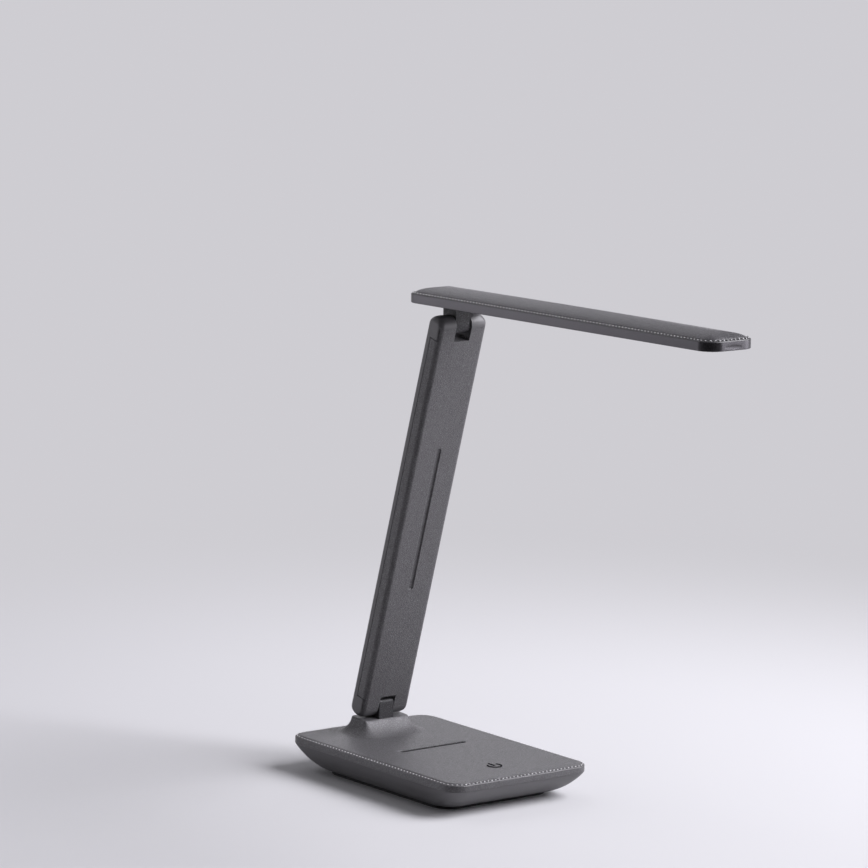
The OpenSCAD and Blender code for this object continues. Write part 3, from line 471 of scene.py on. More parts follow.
def metal(name, colour, rough, stretch=(1, 1, 14)):
    """Machined metal with fine turning marks along one direction."""
    finish = Finish(name, colour, rough, 1.0)
    marks_place = finish.node("Mapping", Vector=finish.place, Scale=stretch)
    marks = finish.noise(0.5, 3.0, marks_place)
    finish.vary("Roughness", marks, rough - 0.08, rough + 0.08)
    finish.set("Base Color", finish.blend(marks, shade(colour, 0.86), shade(colour, 1.06)))
    finish.relief(marks, 0.004)
    return finish.material


# %% Opal and thread


def opal(name, colour):
    """Opal diffuser: white, slightly cloudy, with a satin face."""
    finish = Finish(name, colour, 0.38)
    cloud = finish.noise(9, 2.0)
    finish.set("Base Color", finish.blend(cloud, shade(colour, 0.97), colour + (1,)))
    finish.vary("Roughness", cloud, 0.34, 0.42)
    finish.relief(finish.noise(0.3, 2.0), 0.003)
    return finish.material


def thread(name, colour, twist_size=0.45):
    """Sewing thread with a fine twist."""
    finish = Finish(name, colour, 0.6)
    twist = finish.node("TexWave", {"bands_direction": "DIAGONAL"}, out="Fac", Vector=finish.place,
                        Scale=1 / (twist_size * MM), Distortion=1.0)
    finish.set("Base Color", finish.blend(twist, shade(colour, 0.7), colour + (1,)))
    finish.relief(twist, 0.03)
    return finish.material


# %% [markdown]
# The lamp's finishes
#
# All the covers are one dark warm grey, and differ by their gloss and the depth of their grain. The
# hinge knuckles are nearly black with the finest grain. The colours are those that the surfaces have
# in plain light, so that they also hold under other lamps.

# %% Finishes of the visible pieces
cross_groove_y = -50.2
# the base's groove that gets painted shade: its distance from the hinge and the mask's heights, in mm
groove_place = (cross_groove_y, 19.55, 19.8)
cover_grey = (0.106, 0.104, 0.109)
arm_grey = (0.104, 0.101, 0.106)
pad_grey = (0.075, 0.0725, 0.079)
shell_grey = (0.100, 0.0975, 0.1025)
hinge_black = (0.028, 0.027, 0.030)
cover_grain = leather("base leather grain", cover_grey, 0.35, 0.9, 0.1, 0.75, groove_place)
band_grain = leather("base edge leather grain", cover_grey, 0.38, 0.95, 0.05, 0.4)
arm_grain = leather("arm leather grain", arm_grey, 0.38, 0.9, 0.09, 0.5)
pad_grain = leather("pad leather grain", pad_grey, 0.36, 1.0, 0.075, 0.3)
hinge_grain = leather("hinge grain", hinge_black, 0.42, 0.6, 0.04, 0.4, gloss=0.4)
shell_satin = satin("shell satin", shell_grey, 0.43)
foot_rubber = rubber("foot rubber", (0.015, 0.015, 0.015))
zinc = metal("zinc plated steel", (0.72, 0.72, 0.73), 0.28)
opal_white = opal("opal diffuser", (0.86, 0.87, 0.90))
grey_thread = thread("grey thread", (0.95, 0.94, 0.95))
print(len(bpy.data.materials), "finishes")

# %% [markdown]
# Base cover
#
# The top of the base is one moulding: an upright rim, a narrow stitched ledge, a flat field and the
# pedestal of the hinge, which grows out of the field in a hollow sweep. The field and the pedestal
# are cut and joined as solids. The ledge is a band of its own, as the stitched edge of the leather
# skin is, because the needle holes need points close together and the rest doesn't.

# %% Base sizes
cover_low, cover_high = [Vector(corner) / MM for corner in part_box("base_top_cover")]
base_w = cover_high.x - cover_low.x
base_l = cover_high.y - cover_low.y
base_corner = 11.0
rim_z = cover_low.z
top_z = 20.2
ledge_w = 2.4
shoulder_z = top_z - 1.5
shoulder_w, shoulder_h = 1.6, 0.95
cover_wall = 2.0
cover_top = 2.5
deck_z = top_z - cover_top
pedestal_top = cover_high.z
print(f"base {base_w:.1f} x {base_l:.1f} mm, pedestal up to {pedestal_top:.1f} mm")

# %% Base field and rim
skin_t = 0.45
shelf_z = shoulder_z - 0.35
seam_z = rim_z + 0.05
roll_w, roll_h, roll_steps = 1.4, 0.5, 8
base_line = outline(base_w, base_l, base_corner, 2.5)
cover_profile = [(cover_wall, deck_z), (cover_wall, seam_z), (skin_t, seam_z), (skin_t, shelf_z),
                 (ledge_w, shelf_z),
                 *[(ledge_w + roll_w - roll_w * math.cos(turn), top_z - roll_h + roll_h * math.sin(turn))
                   for turn in arc(0, 90, roll_steps)]]
base_cover = loft("base_cover", [inset_ring(base_line, inset, z) for inset, z in cover_profile])
print("base cover:", len(cover_profile), "rings of", len(base_line), "points")

# %% [markdown]
# Pedestal
#
# The pedestal is wider at its foot than at its top, more so in front than behind, and its walls end
# in a hollow sweep where they meet the field. A function gives its outline at any height, so the
# rings can stand close together in the sweep and far apart above it.

# %% Hinge pedestal
hinge_y = hinge.y / MM
pedestal_w, pedestal_front, pedestal_rear = 32.8, 7.7, 6.2
pedestal_corner = 2.2
pedestal_draft, pedestal_slope, pedestal_back = 0.3, 0.72, 0.18
pedestal_sweep, pedestal_rise = 7.0, 1.0
pedestal_h = pedestal_top - pedestal_rise - top_z


def pedestal_ring(height, grow=0.0):
    """The pedestal's outline at a height above the base's field."""
    fall = max(0.0, pedestal_sweep - height)
    hollow = pedestal_sweep - math.sqrt(pedestal_sweep**2 - fall**2)
    below = pedestal_h - height
    side = pedestal_draft * below + hollow + grow
    front = pedestal_front + pedestal_slope * below + hollow + grow
    rear = pedestal_rear + pedestal_back * below + hollow + grow
    points = ring(pedestal_w + 2 * side, front + rear, pedestal_corner + side, 0, 8,
                  (0, (rear - front) / 2))
    depth = pedestal_front + pedestal_rear
    shares = [min(1, max(0, (y + pedestal_front) / depth)) for _, y, _ in points]
    return [(x, y + hinge_y, top_z + height * (1 + pedestal_rise * share / pedestal_h))
            for (x, y, _), share in zip(points, shares)]


lip, lip_steps = 0.7, 4
first_height, sunk_foot = 0.03, 0.8
wall_heights = (first_height, 0.12, 0.3, 0.6, 1.0, 1.5, 2.1, 2.8, 3.6, 4.6, 5.7, pedestal_sweep,
                pedestal_h - lip)
foot_ring = [(x, y, top_z - sunk_foot) for x, y, _ in pedestal_ring(first_height)]
walls = [pedestal_ring(height) for height in wall_heights]
crown = [pedestal_ring(pedestal_h - lip + lip * math.sin(turn), -lip * (1 - math.cos(turn)))
         for turn in arc(0, 90, lip_steps)[1:]]
pedestal = loft("pedestal", [foot_ring, *walls, *crown])
carve(base_cover, [pedestal], "UNION")
print(f"pedestal {pedestal_h:.1f} mm above the field")

# %% [markdown]
# Groove, power sign and hinge slot
#
# A groove runs across the base, and its shoulders sag softly towards it, because the skin is pressed
# in there. The power sign is an open ring with a bar, pressed a little below the surface and filled
# with black ink. The hinge slot is a plain cut through the pedestal. A stroke on a circle is again a
# loft, this time of small upright rings that follow the circle.

# %% Cutters


def stadium(name, length, width, top, depth, middle_y, lip, shoulder, sag, bowl):
    """Cutter for a groove along X: its floor draws in by bowl, and a shoulder sags to its round lip."""
    wall = depth - sag - lip
    steps = [(-bowl * (1 - math.cos(turn)), -sag - lip - wall * math.sin(turn)) for turn in arc(90, 0, 6)]
    steps += [(lip * 0.3, -sag - lip * 0.3), (lip, -sag)]
    steps += [(lip + shoulder * k / 6, -sag * (1 - k / 6)**2 + 0.0005 * k) for k in range(1, 7)]
    steps.append((lip + shoulder + 0.5, 1.0))
    return loft(name, [ring(length + 2 * grow, width + 2 * grow, width / 2 + grow - 0.01, top + z, 8,
                            (0, middle_y)) for grow, z in steps])


def ring_stroke(name, middle_y, radius, line, gap, low, high, steps=48):
    """A solid stroke that follows a circle and leaves a gap, in degrees, round +Y."""
    half = line / 2
    rings = [[((radius + out) * math.cos(turn), middle_y + (radius + out) * math.sin(turn), z)
              for out, z in ((-half, low), (half, low), (half, high), (-half, high))]
             for turn in arc(90 + gap / 2, 450 - gap / 2, steps)]
    return loft(name, rings)


# %% Groove, sign seat and hinge slot
cross_groove_l, cross_groove_w, cross_groove_depth = 48.5, 3.2, 1.2
groove_lip = 0.25
sign_y = hinge_y - 105.8
sign_r = 4.0
sign_line = 1.05
sign_gap = 100
sign_depth, sign_proud = 0.4, 0.3
slot_w, slot_half_y = 5.45, 6.8
groove = stadium("groove_cutter", cross_groove_l, cross_groove_w, top_z, cross_groove_depth,
                 hinge_y + cross_groove_y, groove_lip, shoulder=3.0, sag=0.34, bowl=0.3)
sign_low = top_z - sign_depth
sign_cut = ring_stroke("sign_cutter", sign_y, sign_r, sign_line, sign_gap, sign_low, top_z + 1)
bar_cut = block("bar_cutter", (-sign_line / 2, sign_y, sign_low),
                (sign_line / 2, sign_y + sign_r + sign_line / 2 + sign_line, top_z + 1))
slot_cut = block("slot_cutter", (-slot_w, hinge_y - slot_half_y, deck_z - 1),
                 (slot_w, hinge_y + slot_half_y, pedestal_top + 5))
carve(base_cover, [groove, sign_cut, bar_cut, slot_cut])
soften(base_cover, 0.12, 50)
seat(base_cover, base_place, "base", cover_grain, ("base_top_cover",))

# %% Power sign
sign_room = 0.02
sign_top = top_z + sign_proud
sign = ring_stroke("power_mark", sign_y, sign_r, sign_line - 2 * sign_room, sign_gap + 1,
                   sign_low + sign_room, sign_top)
sign_bar = block("sign_bar", (-sign_line / 2 + sign_room, sign_y + sign_room, sign_low + sign_room),
                 (sign_line / 2 - sign_room, sign_y + sign_r + sign_line * 1.5 - sign_room, sign_top))
carve(sign, [sign_bar], "UNION")
soften(sign, 0.08, 50)
sign_finish = Finish("sign ink", (0.006, 0.006, 0.007), 0.8)
sign_finish.set("Specular IOR Level", 0.05)
sign_dust = sign_finish.noise(0.6, 2.0)
ink_black, ink_grey = (0.004, 0.004, 0.005, 1), (0.014, 0.014, 0.015, 1)
sign_finish.set("Base Color", sign_finish.blend(sign_dust, ink_black, ink_grey))
seat(sign, base_place, "base", sign_finish.material, ("power_sign",))

# %% [markdown]
# Stitched ledge
#
# A row of thread runs round the ledge, about 2.7 mm from stitch to stitch. Each stitch dives into a
# needle hole at both ends, and neighbours share a hole. The band's points lie 0.3 mm apart along the
# row, so the holes are real dimples in the mesh.

# %% Needle holes
stitch_pitch = 2.7
fine_step = 0.31


def walked(spots):
    """The distance along a closed row at each of its points, and at its end."""
    far = [0.0]
    for here, there in zip(spots, spots[1:] + spots[:1]):
        far.append(far[-1] + (there - here).length)
    return far


def row_marks(line, inset):
    """How far each point of a closed row is from its nearest needle hole, and the number of stitches."""
    far = walked([Vector((x - inset * out_x, y - inset * out_y)) for x, y, out_x, out_y in line])
    count = round(far[-1] / stitch_pitch)
    pitch = far[-1] / count
    return [abs(s / pitch % 1 - 0.5) * pitch for s in far[:-1]], count


def dimple(mark, off_row, width=0.42, depth=0.5):
    """Depth of a needle hole at a distance along the row and across it."""
    return depth * math.exp(-(mark / width)**2 - (off_row / width)**2)


def stitched_rings(line, profile, row_inset, middle=(0, 0)):
    """Rings of a profile of (inset, height) with needle holes along the row."""
    marks, count = row_marks(line, row_inset)
    rings = []
    for inset, z in profile:
        flat = inset_ring(line, inset, z, middle)
        rings.append([(x, y, z - dimple(mark, inset - row_inset))
                      for (x, y, z), mark in zip(flat, marks)])
    return rings, count


print(f"a needle hole is {dimple(0, 0):.1f} mm deep")

# %% Base's stitched band
base_row = 1.05
ledge_rise = 0.1


def shoulder(inset):
    """Height of the base's rounded shoulder at an inset from its side."""
    out = max(0.0, 1 - inset / shoulder_w)
    round_z = shoulder_z + shoulder_h * math.sqrt(max(0.0, 1 - out**2))
    return round_z + ledge_rise * max(0.0, inset - shoulder_w)


fine_base_line = outline(base_w, base_l, base_corner, fine_step)
hidden_z = shelf_z + 0.02
hidden_inset = skin_t - 0.02
inner_inset = ledge_w + 0.07
shoulder_insets = (0, 0.03, 0.1, 0.2, 0.32, 0.45, 0.6, 0.75, 0.9, 1.05, 1.2, 1.35, 1.5, 1.75, 2.0, 2.25)
band_profile = [(hidden_inset, hidden_z), (hidden_inset, rim_z), (0.1, rim_z), (0.03, rim_z + 0.03),
                (0, rim_z + 0.1), *[(inset, shoulder(inset)) for inset in shoulder_insets],
                (inner_inset, shoulder(ledge_w) + 0.03), (inner_inset, hidden_z)]
rings, base_stitches = stitched_rings(fine_base_line, band_profile, base_row)
base_band = loft("base_ledge_band", rings, capped=False)
soften(base_band, 0, 50)
seat(base_band, base_place, "base", band_grain)
print(base_stitches, "stitches round the base")

# %% [markdown]
# Thread
#
# The stitches are one short arch of thread, set along the row as many times as it has stitches. A
# node tree does this: it reads the row as a curve, spreads points on it, turns an arch along the row
# at each, and makes the arches real, because the export drops instances.

# %% Stitch tree
smallest_stitch, largest_stitch = 0.93, 1.05


def stitch_tree():
    """Node tree that sews a row of stitches along a mesh edge loop."""
    tree = bpy.data.node_groups.new("sewn row", "GeometryNodeTree")
    face = tree.interface
    face.new_socket("Geometry", in_out="INPUT", socket_type="NodeSocketGeometry")
    sizes = (("Stitches", "NodeSocketInt", 100), ("Length", "NodeSocketFloat", 0.5),
             ("Thread radius", "NodeSocketFloat", 0.26), ("Rise", "NodeSocketFloat", 0.5),
             ("Dive", "NodeSocketFloat", -0.14), ("Seed", "NodeSocketInt", 3))
    for name, kind, value in sizes:
        made = face.new_socket(name, in_out="INPUT", socket_type=kind)
        made.default_value = value
    face.new_socket("Material", in_out="INPUT", socket_type="NodeSocketMaterial")
    face.new_socket("Geometry", in_out="OUTPUT", socket_type="NodeSocketGeometry")

    def add(kind, settings=(), **links):
        """Adds a node with its settings, and the values or links of its sockets."""
        node = tree.nodes.new(kind)
        for key, value in dict(settings).items():
            setattr(node, key, value)
        for key, value in links.items():
            socket = node.inputs[key.replace("_", " ")]
            if isinstance(value, bpy.types.NodeSocket):
                tree.links.new(value, socket)
            else:
                socket.default_value = value
        return node

    def times(value, factor):
        """A value times a number."""
        node = add("ShaderNodeMath", {"operation": "MULTIPLY"})
        tree.links.new(value, node.inputs[0])
        node.inputs[1].default_value = factor
        return node.outputs[0]

    given = add("NodeGroupInput").outputs
    row = add("GeometryNodeMeshToCurve", Mesh=given["Geometry"])
    spread = add("GeometryNodeResampleCurve", {"mode": "COUNT"}, Curve=row.outputs[0],
                 Count=given["Stitches"])
    spots = add("GeometryNodeCurveToPoints", {"mode": "EVALUATED"}, Curve=spread.outputs[0])
    start = add("ShaderNodeCombineXYZ", X=times(given["Length"], -0.5), Z=given["Dive"])
    middle = add("ShaderNodeCombineXYZ", Z=given["Rise"])
    end = add("ShaderNodeCombineXYZ", X=times(given["Length"], 0.5), Z=given["Dive"])
    arch = add("GeometryNodeCurveQuadraticBezier", Resolution=6, Start=start.outputs[0],
               Middle=middle.outputs[0], End=end.outputs[0])
    thick = add("GeometryNodeCurvePrimitiveCircle", Resolution=8, Radius=given["Thread radius"])
    thread_mesh = add("GeometryNodeCurveToMesh", Curve=arch.outputs[0], Profile_Curve=thick.outputs[0],
                      Fill_Caps=True)
    along = add("FunctionNodeAlignEulerToVector", {"axis": "X", "pivot_axis": "Z"},
                Vector=spots.outputs["Tangent"])
    size = add("FunctionNodeRandomValue", {"data_type": "FLOAT"}, Seed=given["Seed"])
    size.inputs[2].default_value, size.inputs[3].default_value = smallest_stitch, largest_stitch
    sewn = add("GeometryNodeInstanceOnPoints", Points=spots.outputs[0], Instance=thread_mesh.outputs[0],
               Rotation=along.outputs[0], Scale=size.outputs[1])
    real = add("GeometryNodeRealizeInstances", Geometry=sewn.outputs[0])
    smooth = add("GeometryNodeSetShadeSmooth", Geometry=real.outputs[0])
    dyed = add("GeometryNodeSetMaterial", Geometry=smooth.outputs[0], Material=given["Material"])
    out = add("NodeGroupOutput")
    tree.links.new(dyed.outputs[0], out.inputs[0])
    return tree


sewn_row = stitch_tree()
print(len(sewn_row.nodes), "nodes in the stitch tree")

# %% Sewing
stitch_l = stitch_pitch * 0.2
thread_r = 0.26


def sew(name, line, inset, z, count, place, body, middle=(0, 0)):
    """Sews a row of stitches inside an outline and seats it on a body."""
    points = inset_ring(line, inset, z, middle)
    mesh = bpy.data.meshes.new(name)
    mesh.from_pydata(points, [(i, (i + 1) % len(points)) for i in range(len(points))], [])
    row = new_object(name, mesh)
    nodes_step = row.modifiers.new("sew", "NODES")
    nodes_step.node_group = sewn_row
    sizes = {"Stitches": count, "Length": stitch_l, "Thread radius": thread_r, "Material": grey_thread}
    for item in sewn_row.interface.items_tree:
        if item.in_out == "INPUT" and item.name in sizes:
            nodes_step[item.identifier] = sizes[item.name]
    settle(row)
    return seat(row, place, body, grey_thread)


sew("base_stitches", fine_base_line, base_row, shoulder(base_row), base_stitches, base_place, "base")

# %% [markdown]
# Base shell
#
# Below the seam the base draws in like a boat's hull, so that it seems to float on its foot. The
# hull is a tray: its floor inside, its wall, its edge at the seam and its skin outside, all in one
# loft. The charging socket and its light come out at the rear, where the hull is steepest.

# %% Hull
foot_z = 2.1
hull_top = rim_z - 0.06
hull_wall = 1.6
hull_steps = 20
draw_side, draw_end = 10.6, 20.3
straight_draw, round_draw = 0.45, 0.55
foot_corner = 12.0
foot_seat = 0.6
edge_room = 0.4


def hull_ring(share, inset, z):
    """The hull's outline at a share of its depth, from 0 at the seam to 1 at the foot."""
    draw = straight_draw * share + round_draw * (1 - math.sqrt(max(0, 1 - share**2)))
    radius = base_corner + (foot_corner - base_corner) * draw - inset
    return ring(base_w - 2 * draw_side * draw - 2 * inset, base_l - 2 * draw_end * draw - 2 * inset,
                radius, z, 16)


def hull_height(share, lift=0.0):
    """Height of the hull's skin at a share of its depth."""
    return hull_top - (rim_z - foot_z) * share + lift


shares = [math.sin(turn) for turn in arc(0, 90, hull_steps)]
inner_lift = hull_wall + foot_seat
inside = [hull_ring(share, hull_wall, hull_height(share, inner_lift)) for share in shares[::-1]
          if hull_height(share, inner_lift) < hull_top - edge_room]
inside.append(hull_ring(0, hull_wall, hull_top))
outside = [hull_ring(0, 0.1, hull_top), hull_ring(0, 0.03, hull_top - 0.03)]
outside += [hull_ring(share, 0, hull_height(share)) for share in [0.02, *shares[1:]]]
hull = loft("base_hull", [*outside[::-1], *inside[::-1]])
print("hull:", len(inside) + len(outside), "rings")

# %% Foot seat, socket and light in the hull
foot_low, foot_high = [Vector(corner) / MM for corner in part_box("foot_pad")]
socket_low, socket_high = [Vector(corner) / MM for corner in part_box("charging_socket")]
pipe_low, pipe_high = [Vector(corner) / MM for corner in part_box("charge_light_pipe")]
foot_room = 0.2
bore_room, bore_l, bore_past = 0.1, 14, 0.45


def rear_bore(name, low, high, soft):
    """Cutter through the rear wall with a flared mouth, from a box's width and height."""
    size = high - low
    centre = (high + low) / 2
    turned = Matrix.Translation((centre.x, 0, centre.z)) @ Matrix.Rotation(math.radians(-90), 4, "X")
    mouth = high.y + bore_past
    steps = ((bore_room, mouth - bore_l), (bore_room, mouth - soft * 1.4), (bore_room + soft, mouth + 0.3),
             (bore_room + soft * 2.5, mouth + 3))
    cutter = loft(name, [ring(size.x + 2 * grow, size.z + 2 * grow, size.z / 2 + grow - 0.01, y, 8)
                         for grow, y in steps])
    cutter.data.transform(turned)
    return cutter


foot_size = foot_high - foot_low
foot_cut = loft("foot_cutter", [ring(foot_size.x + foot_room, foot_size.y + foot_room, foot_corner, z, 16)
                                for z in (foot_z - 2, foot_z + foot_seat)])
carve(hull, [foot_cut, rear_bore("socket_cutter", socket_low, socket_high, 0.5),
             rear_bore("pipe_cutter", pipe_low, pipe_high, 0.25)])
soften(hull, 0.12, 45)
seat(hull, base_place, "base", shell_satin, ("base_bottom_shell",))

# %% [markdown]
# Arm
#
# The arm is a flat bar whose ends are fully round, seen from the side, and whose corners are
# rounded again, seen from the front. One loft along the bar holds both: each ring is narrower and
# thinner than the last towards the tip. Two covers are then cut from this one form, so they meet
# without a step. The parting line runs down the sides a little behind the middle and steps forward
# near each end, so that the round ends belong to the rear cover.

# %% Arm form
arm_low, arm_high = [Vector(corner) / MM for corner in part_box("arm_rear_shell")]
arm_w = arm_high.x - arm_low.x
arm_t = 12.5
arm_edge, arm_corner = 3.0, 4.5
arm_wall = 1.5
notch_w, notch_depth = 11.3, 7.7
part_y, part_step, part_gap = 1.3, 7.0, 0.4
face_seam = 0.2
skin_y = -arm_t / 2 + arm_wall + 0.1
tip_steps, tip_end = 24, 0.9995


def arm_ring(z, inset):
    """The bar's section at a distance z along it, from one pivot to the other."""
    end = arm_t / 2 - inset
    past = max(0.0, -z, z - arm_span)
    thick = 2 * math.sqrt(max(0.0, end**2 - past**2))
    corner = arm_corner - min(inset, 2.5)
    rest = max(0.0, corner - (end - past))
    wide = arm_w - 2 * inset - 2 * (corner - math.sqrt(max(0.0, corner**2 - rest**2)))
    radius = min(max(0.6, arm_edge - inset), thick * 0.499)
    return ring(wide, thick, radius, z, 8)


def arm_form(name, inset):
    """The whole bar as one solid, or its hollow if it is inset."""
    end = arm_t / 2 - inset
    tips = [end * math.sin(turn) for turn in arc(0, 90, tip_steps)[:-1]] + [end * tip_end]
    spots = sorted({*[-tip for tip in tips], *[arm_span + tip for tip in tips]})
    return loft(name, [arm_ring(z, inset) for z in spots])


def notch_blocks(name, grow):
    """Cutters for the notches that take the hinge knuckles."""
    half = notch_w / 2 + grow
    low_end, high_end = notch_depth + grow, arm_span - notch_depth - grow
    return [block(name, (-half, -arm_t, -arm_t), (half, arm_t, low_end)),
            block(name, (-half, -arm_t, high_end), (half, arm_t, arm_span + arm_t))]


def front_zone(name, gap):
    """Prism that holds the front cover, with its steps near the ends."""
    near, far = part_step + gap, arm_span - part_step - gap
    fine = gap * face_seam
    side = [(-arm_t, fine), (skin_y - gap, fine), (skin_y - gap, near), (part_y - gap, near),
            (part_y - gap, far), (skin_y - gap, far), (skin_y - gap, arm_span - fine),
            (-arm_t, arm_span - fine)]
    return loft(name, [[(x, y, z) for y, z in side] for x in (-arm_w, arm_w)])


def arm_solid(name):
    """The hollow bar with its notches, before it is parted."""
    hollow = carve(arm_form("arm_hollow", arm_wall), notch_blocks("notch_wall", arm_wall))
    return carve(arm_form(name, 0), [hollow, *notch_blocks("notch", 0)])


print(f"arm {arm_w:.1f} mm wide and {arm_t:.1f} mm thick")

# %% [markdown]
# Arm covers
#
# The front cover carries the leather grain and a long groove with a round floor. Light from the
# right falls on the groove's left half and leaves its right half in shade, which is what draws the
# fine double line on the arm. The gap between the covers is as wide as a real mould needs it.

# %% Arm covers
groove_from, groove_l, groove_w, groove_depth = 76.3, 89.2, 3.2, 0.95
arm_front = carve(arm_solid("arm_front"), [front_zone("front_zone", part_gap / 2)], "INTERSECT")
long_groove = stadium("long_groove", groove_l, groove_w, 0, groove_depth, 0, groove_lip,
                      shoulder=0.4, sag=0.04, bowl=1.45)
long_groove.data.transform(Matrix.Translation((0, -arm_t / 2, groove_from + groove_l / 2))
                           @ Matrix.Rotation(math.radians(90), 4, "Y")
                           @ Matrix.Rotation(math.radians(90), 4, "X"))
carve(arm_front, [long_groove])
soften(arm_front, 0.25, 45)
seat(arm_front, arm_place, "arm", arm_grain, ("arm_front_cover",))
arm_rear = carve(arm_solid("arm_rear"), [front_zone("rear_zone", -part_gap / 2)])
soften(arm_rear, 0.25, 45)
seat(arm_rear, arm_place, "arm", shell_satin, ("arm_rear_shell",))

# %% [markdown]
# Light bar
#
# The bar's frame is a shallow tray turned upside down. Its upright side wall ends in a rounded edge
# that carries the stitches, and inside them the padded top swells. The frame's points are as close
# together as the base band's, for the same needle holes.

# %% Bar sizes
head_w, head_l = 34.6, 264.2
head_rear = 27.2
head_corner = 9.5
head_gap = 11.5
head_wall_h = 5.9
head_top = head_gap + head_wall_h
head_wall = 1.5
head_deck = head_top - 1.2
head_middle = (0, head_rear - head_l / 2)
head_ledge = 2.4
head_row = 1.15
head_line = outline(head_w, head_l, head_corner, fine_step)
low_round, high_round = 0.45, 1.1


def brim(inset):
    """Height of the bar's rounded edge at an inset from its side."""
    out = max(0.0, 1 - inset / head_ledge)
    return head_top - high_round * (1 - math.sqrt(1 - out**2))


print(f"bar {head_l:.1f} x {head_w:.1f} mm, its edge at {head_top:.1f} mm above the elbow")

# %% [markdown]
# Finish of the frame
#
# The wall is painted with a satin metal paint, and the rounded edge above it is wrapped in the pad's
# skin, whose colour there is darker than the pad's as painted shade along the stitched seam. One
# material does both: how far a point lies along the bar's upright tells paint from skin.
# The paint reflects like metal, which gives the bar's corner its black and its pale stripes.

# %% Frame finish


def frame_finish(colour, rough, flake, skin):
    """Satin metal paint on the frame's wall, and above it the pad's skin, darkened as painted shade."""
    finish = Finish("bar frame satin", colour, rough, flake)
    finish.set("Specular IOR Level", cover_gloss)
    up = finish.node("VectorMath", {"operation": "DOT_PRODUCT"}, out="Value", Vector=finish.place,
                     Vector_001=tuple(swivel))
    edge_at = swivel.dot(elbow) + (head_top - high_round) * MM
    skinned = finish.span(up, edge_at, edge_at + 0.12 * MM)
    cloud = finish.noise(cloud_size, 2.0)
    paint = finish.blend(cloud, shade(colour, 0.92), shade(colour, 1.08))
    fine = finish.noise(0.3, 3.0)
    finish.set("Base Color", finish.blend(skinned, paint, skin))
    finish.set("Metallic", (1 - skinned) * flake)
    finish.set("Roughness", rough + 0.1 * skinned + 0.03 * fine)
    finish.relief(fine, 0.012)
    return finish.material


# the skin colour is darker than pad_grey as painted shade along the stitched ledge
frame_satin = frame_finish((0.115, 0.111, 0.120), 0.30, 0.85, skin=(0.045, 0.044, 0.0475, 1))
print(frame_satin.name, "has", len(frame_satin.node_tree.nodes), "nodes")

# %% Bar frame
brim_insets = (0, 0.02, 0.08, 0.18, 0.32, 0.45, 0.6, 0.78, 0.96, 1.15, 1.34, 1.52, 1.75, 2.1, head_ledge)
frame_profile = [(head_wall, head_deck), (head_wall, head_gap), (low_round, head_gap),
                 *[(low_round * (1 - math.sin(turn)), head_gap + low_round * (1 - math.cos(turn)))
                   for turn in arc(0, 90, 4)[1:]],
                 *[(inset, brim(inset)) for inset in brim_insets], (head_ledge + 2, head_top - 0.05)]
rings, head_stitches = stitched_rings(head_line, frame_profile, head_row, head_middle)
bar_frame = loft("bar_frame", rings)
print("bar frame:", len(rings), "rings of", len(head_line), "points")

# %% [markdown]
# Thumb recess
#
# The tip has a shallow hollow for the thumb that lifts the bar. Its cutter is a long flat ellipsoid,
# set so far outside the wall that the hollow's rim meets the wall at a low angle. A steeper rim would
# catch the light like a crack.

# %% Thumb recess
recess_half_l, recess_half_h, recess_reach = 8.5, 1.5, 0.6
recess_out = 0.4
recess_z = head_gap + 1.9
tip_y = head_rear - head_l
recess = loft("recess_cutter", [[(recess_half_l * math.cos(rise) * math.cos(turn),
                                  tip_y - recess_out + recess_reach * math.cos(rise) * math.sin(turn),
                                  recess_z + recess_half_h * math.sin(rise))
                                 for turn in arc(0, 360, 24)[:-1]] for rise in arc(-82.5, 82.5, 11)])
carve(bar_frame, [recess])
soften(bar_frame, 0, 40)
seat(bar_frame, head_place, "head", frame_satin, ("head_top_shell",))
sew("bar_stitches", head_line, head_row, brim(head_row), head_stitches, head_place, "head", head_middle)

# %% [markdown]
# Padded top
#
# Foam under the leather makes the bar's top swell towards its middle. It is taut, so it has no
# folds: what shows is a quick rise from the seam, a long soft dome and small puckers where each
# stitch pulls the edge down. The dome is a formula of how far a point is from the seam, and the
# puckers fade within three millimetres.

# %% Pad rings
pad_edge = head_ledge + 0.3
pad_crown = 3.16
pad_swell = 0.5
pad_half = head_w / 2 - pad_edge
pad_smallest_corner = 0.25
pad_steps = (10, 400, 34)
pad_shares = (0.0, 0.015, 0.04, 0.08, 0.13, 0.19, 0.26, 0.34, 0.43, 0.53, 0.64, 0.76, 0.88, 0.97)


def crown_share(share):
    """How far the pad has risen at a share of the way from its edge to its middle line."""
    return (1 - (1 - share)**1.5)**(2 / 3)


def pad_ring(share, z):
    """One ring of the pad, with equally many points on every ring."""
    inset = pad_edge + pad_half * share
    width, length = head_w - 2 * inset, head_l - 2 * inset
    radius = max(pad_smallest_corner, head_corner - inset)
    return [(x, y + head_middle[1], z) for x, y, _ in all_round(width, length, radius, *pad_steps)]


pad_rings = [pad_ring(0, head_top + 0.02)]
pad_far = walked([Vector(point[:2]) for point in pad_rings[0]])
pad_pitch = pad_far[-1] / head_stitches
print(f"pad's edge {pad_far[-1]:.0f} mm round, a pucker each {pad_pitch:.2f} mm")

# %% Pad's dome and puckers
pucker_depth, pucker_reach, pucker_start = 0.09, 1.6, 0.3
pad_low = 0.12
for share in pad_shares:
    rise = crown_share(share)
    pull = pucker_depth * math.exp(-(share * pad_half / pucker_reach)**2)
    pull *= min(1, share * pad_half / pucker_start)
    dome_ring = []
    for (x, y, _), far in zip(pad_ring(share, 0), pad_far):
        swell = pad_swell * (1 - (2 * (y - head_middle[1]) / head_l)**2)
        height = head_top + pad_low + (pad_crown + swell) * rise
        dome_ring.append((x, y, height - pull * (1 + math.cos(2 * math.pi * far / pad_pitch))))
    pad_rings.append(dome_ring)
pad = loft("bar_pad", pad_rings)
soften(pad, 0, 60)
seat(pad, head_place, "head", pad_grain, ("head_pad",))

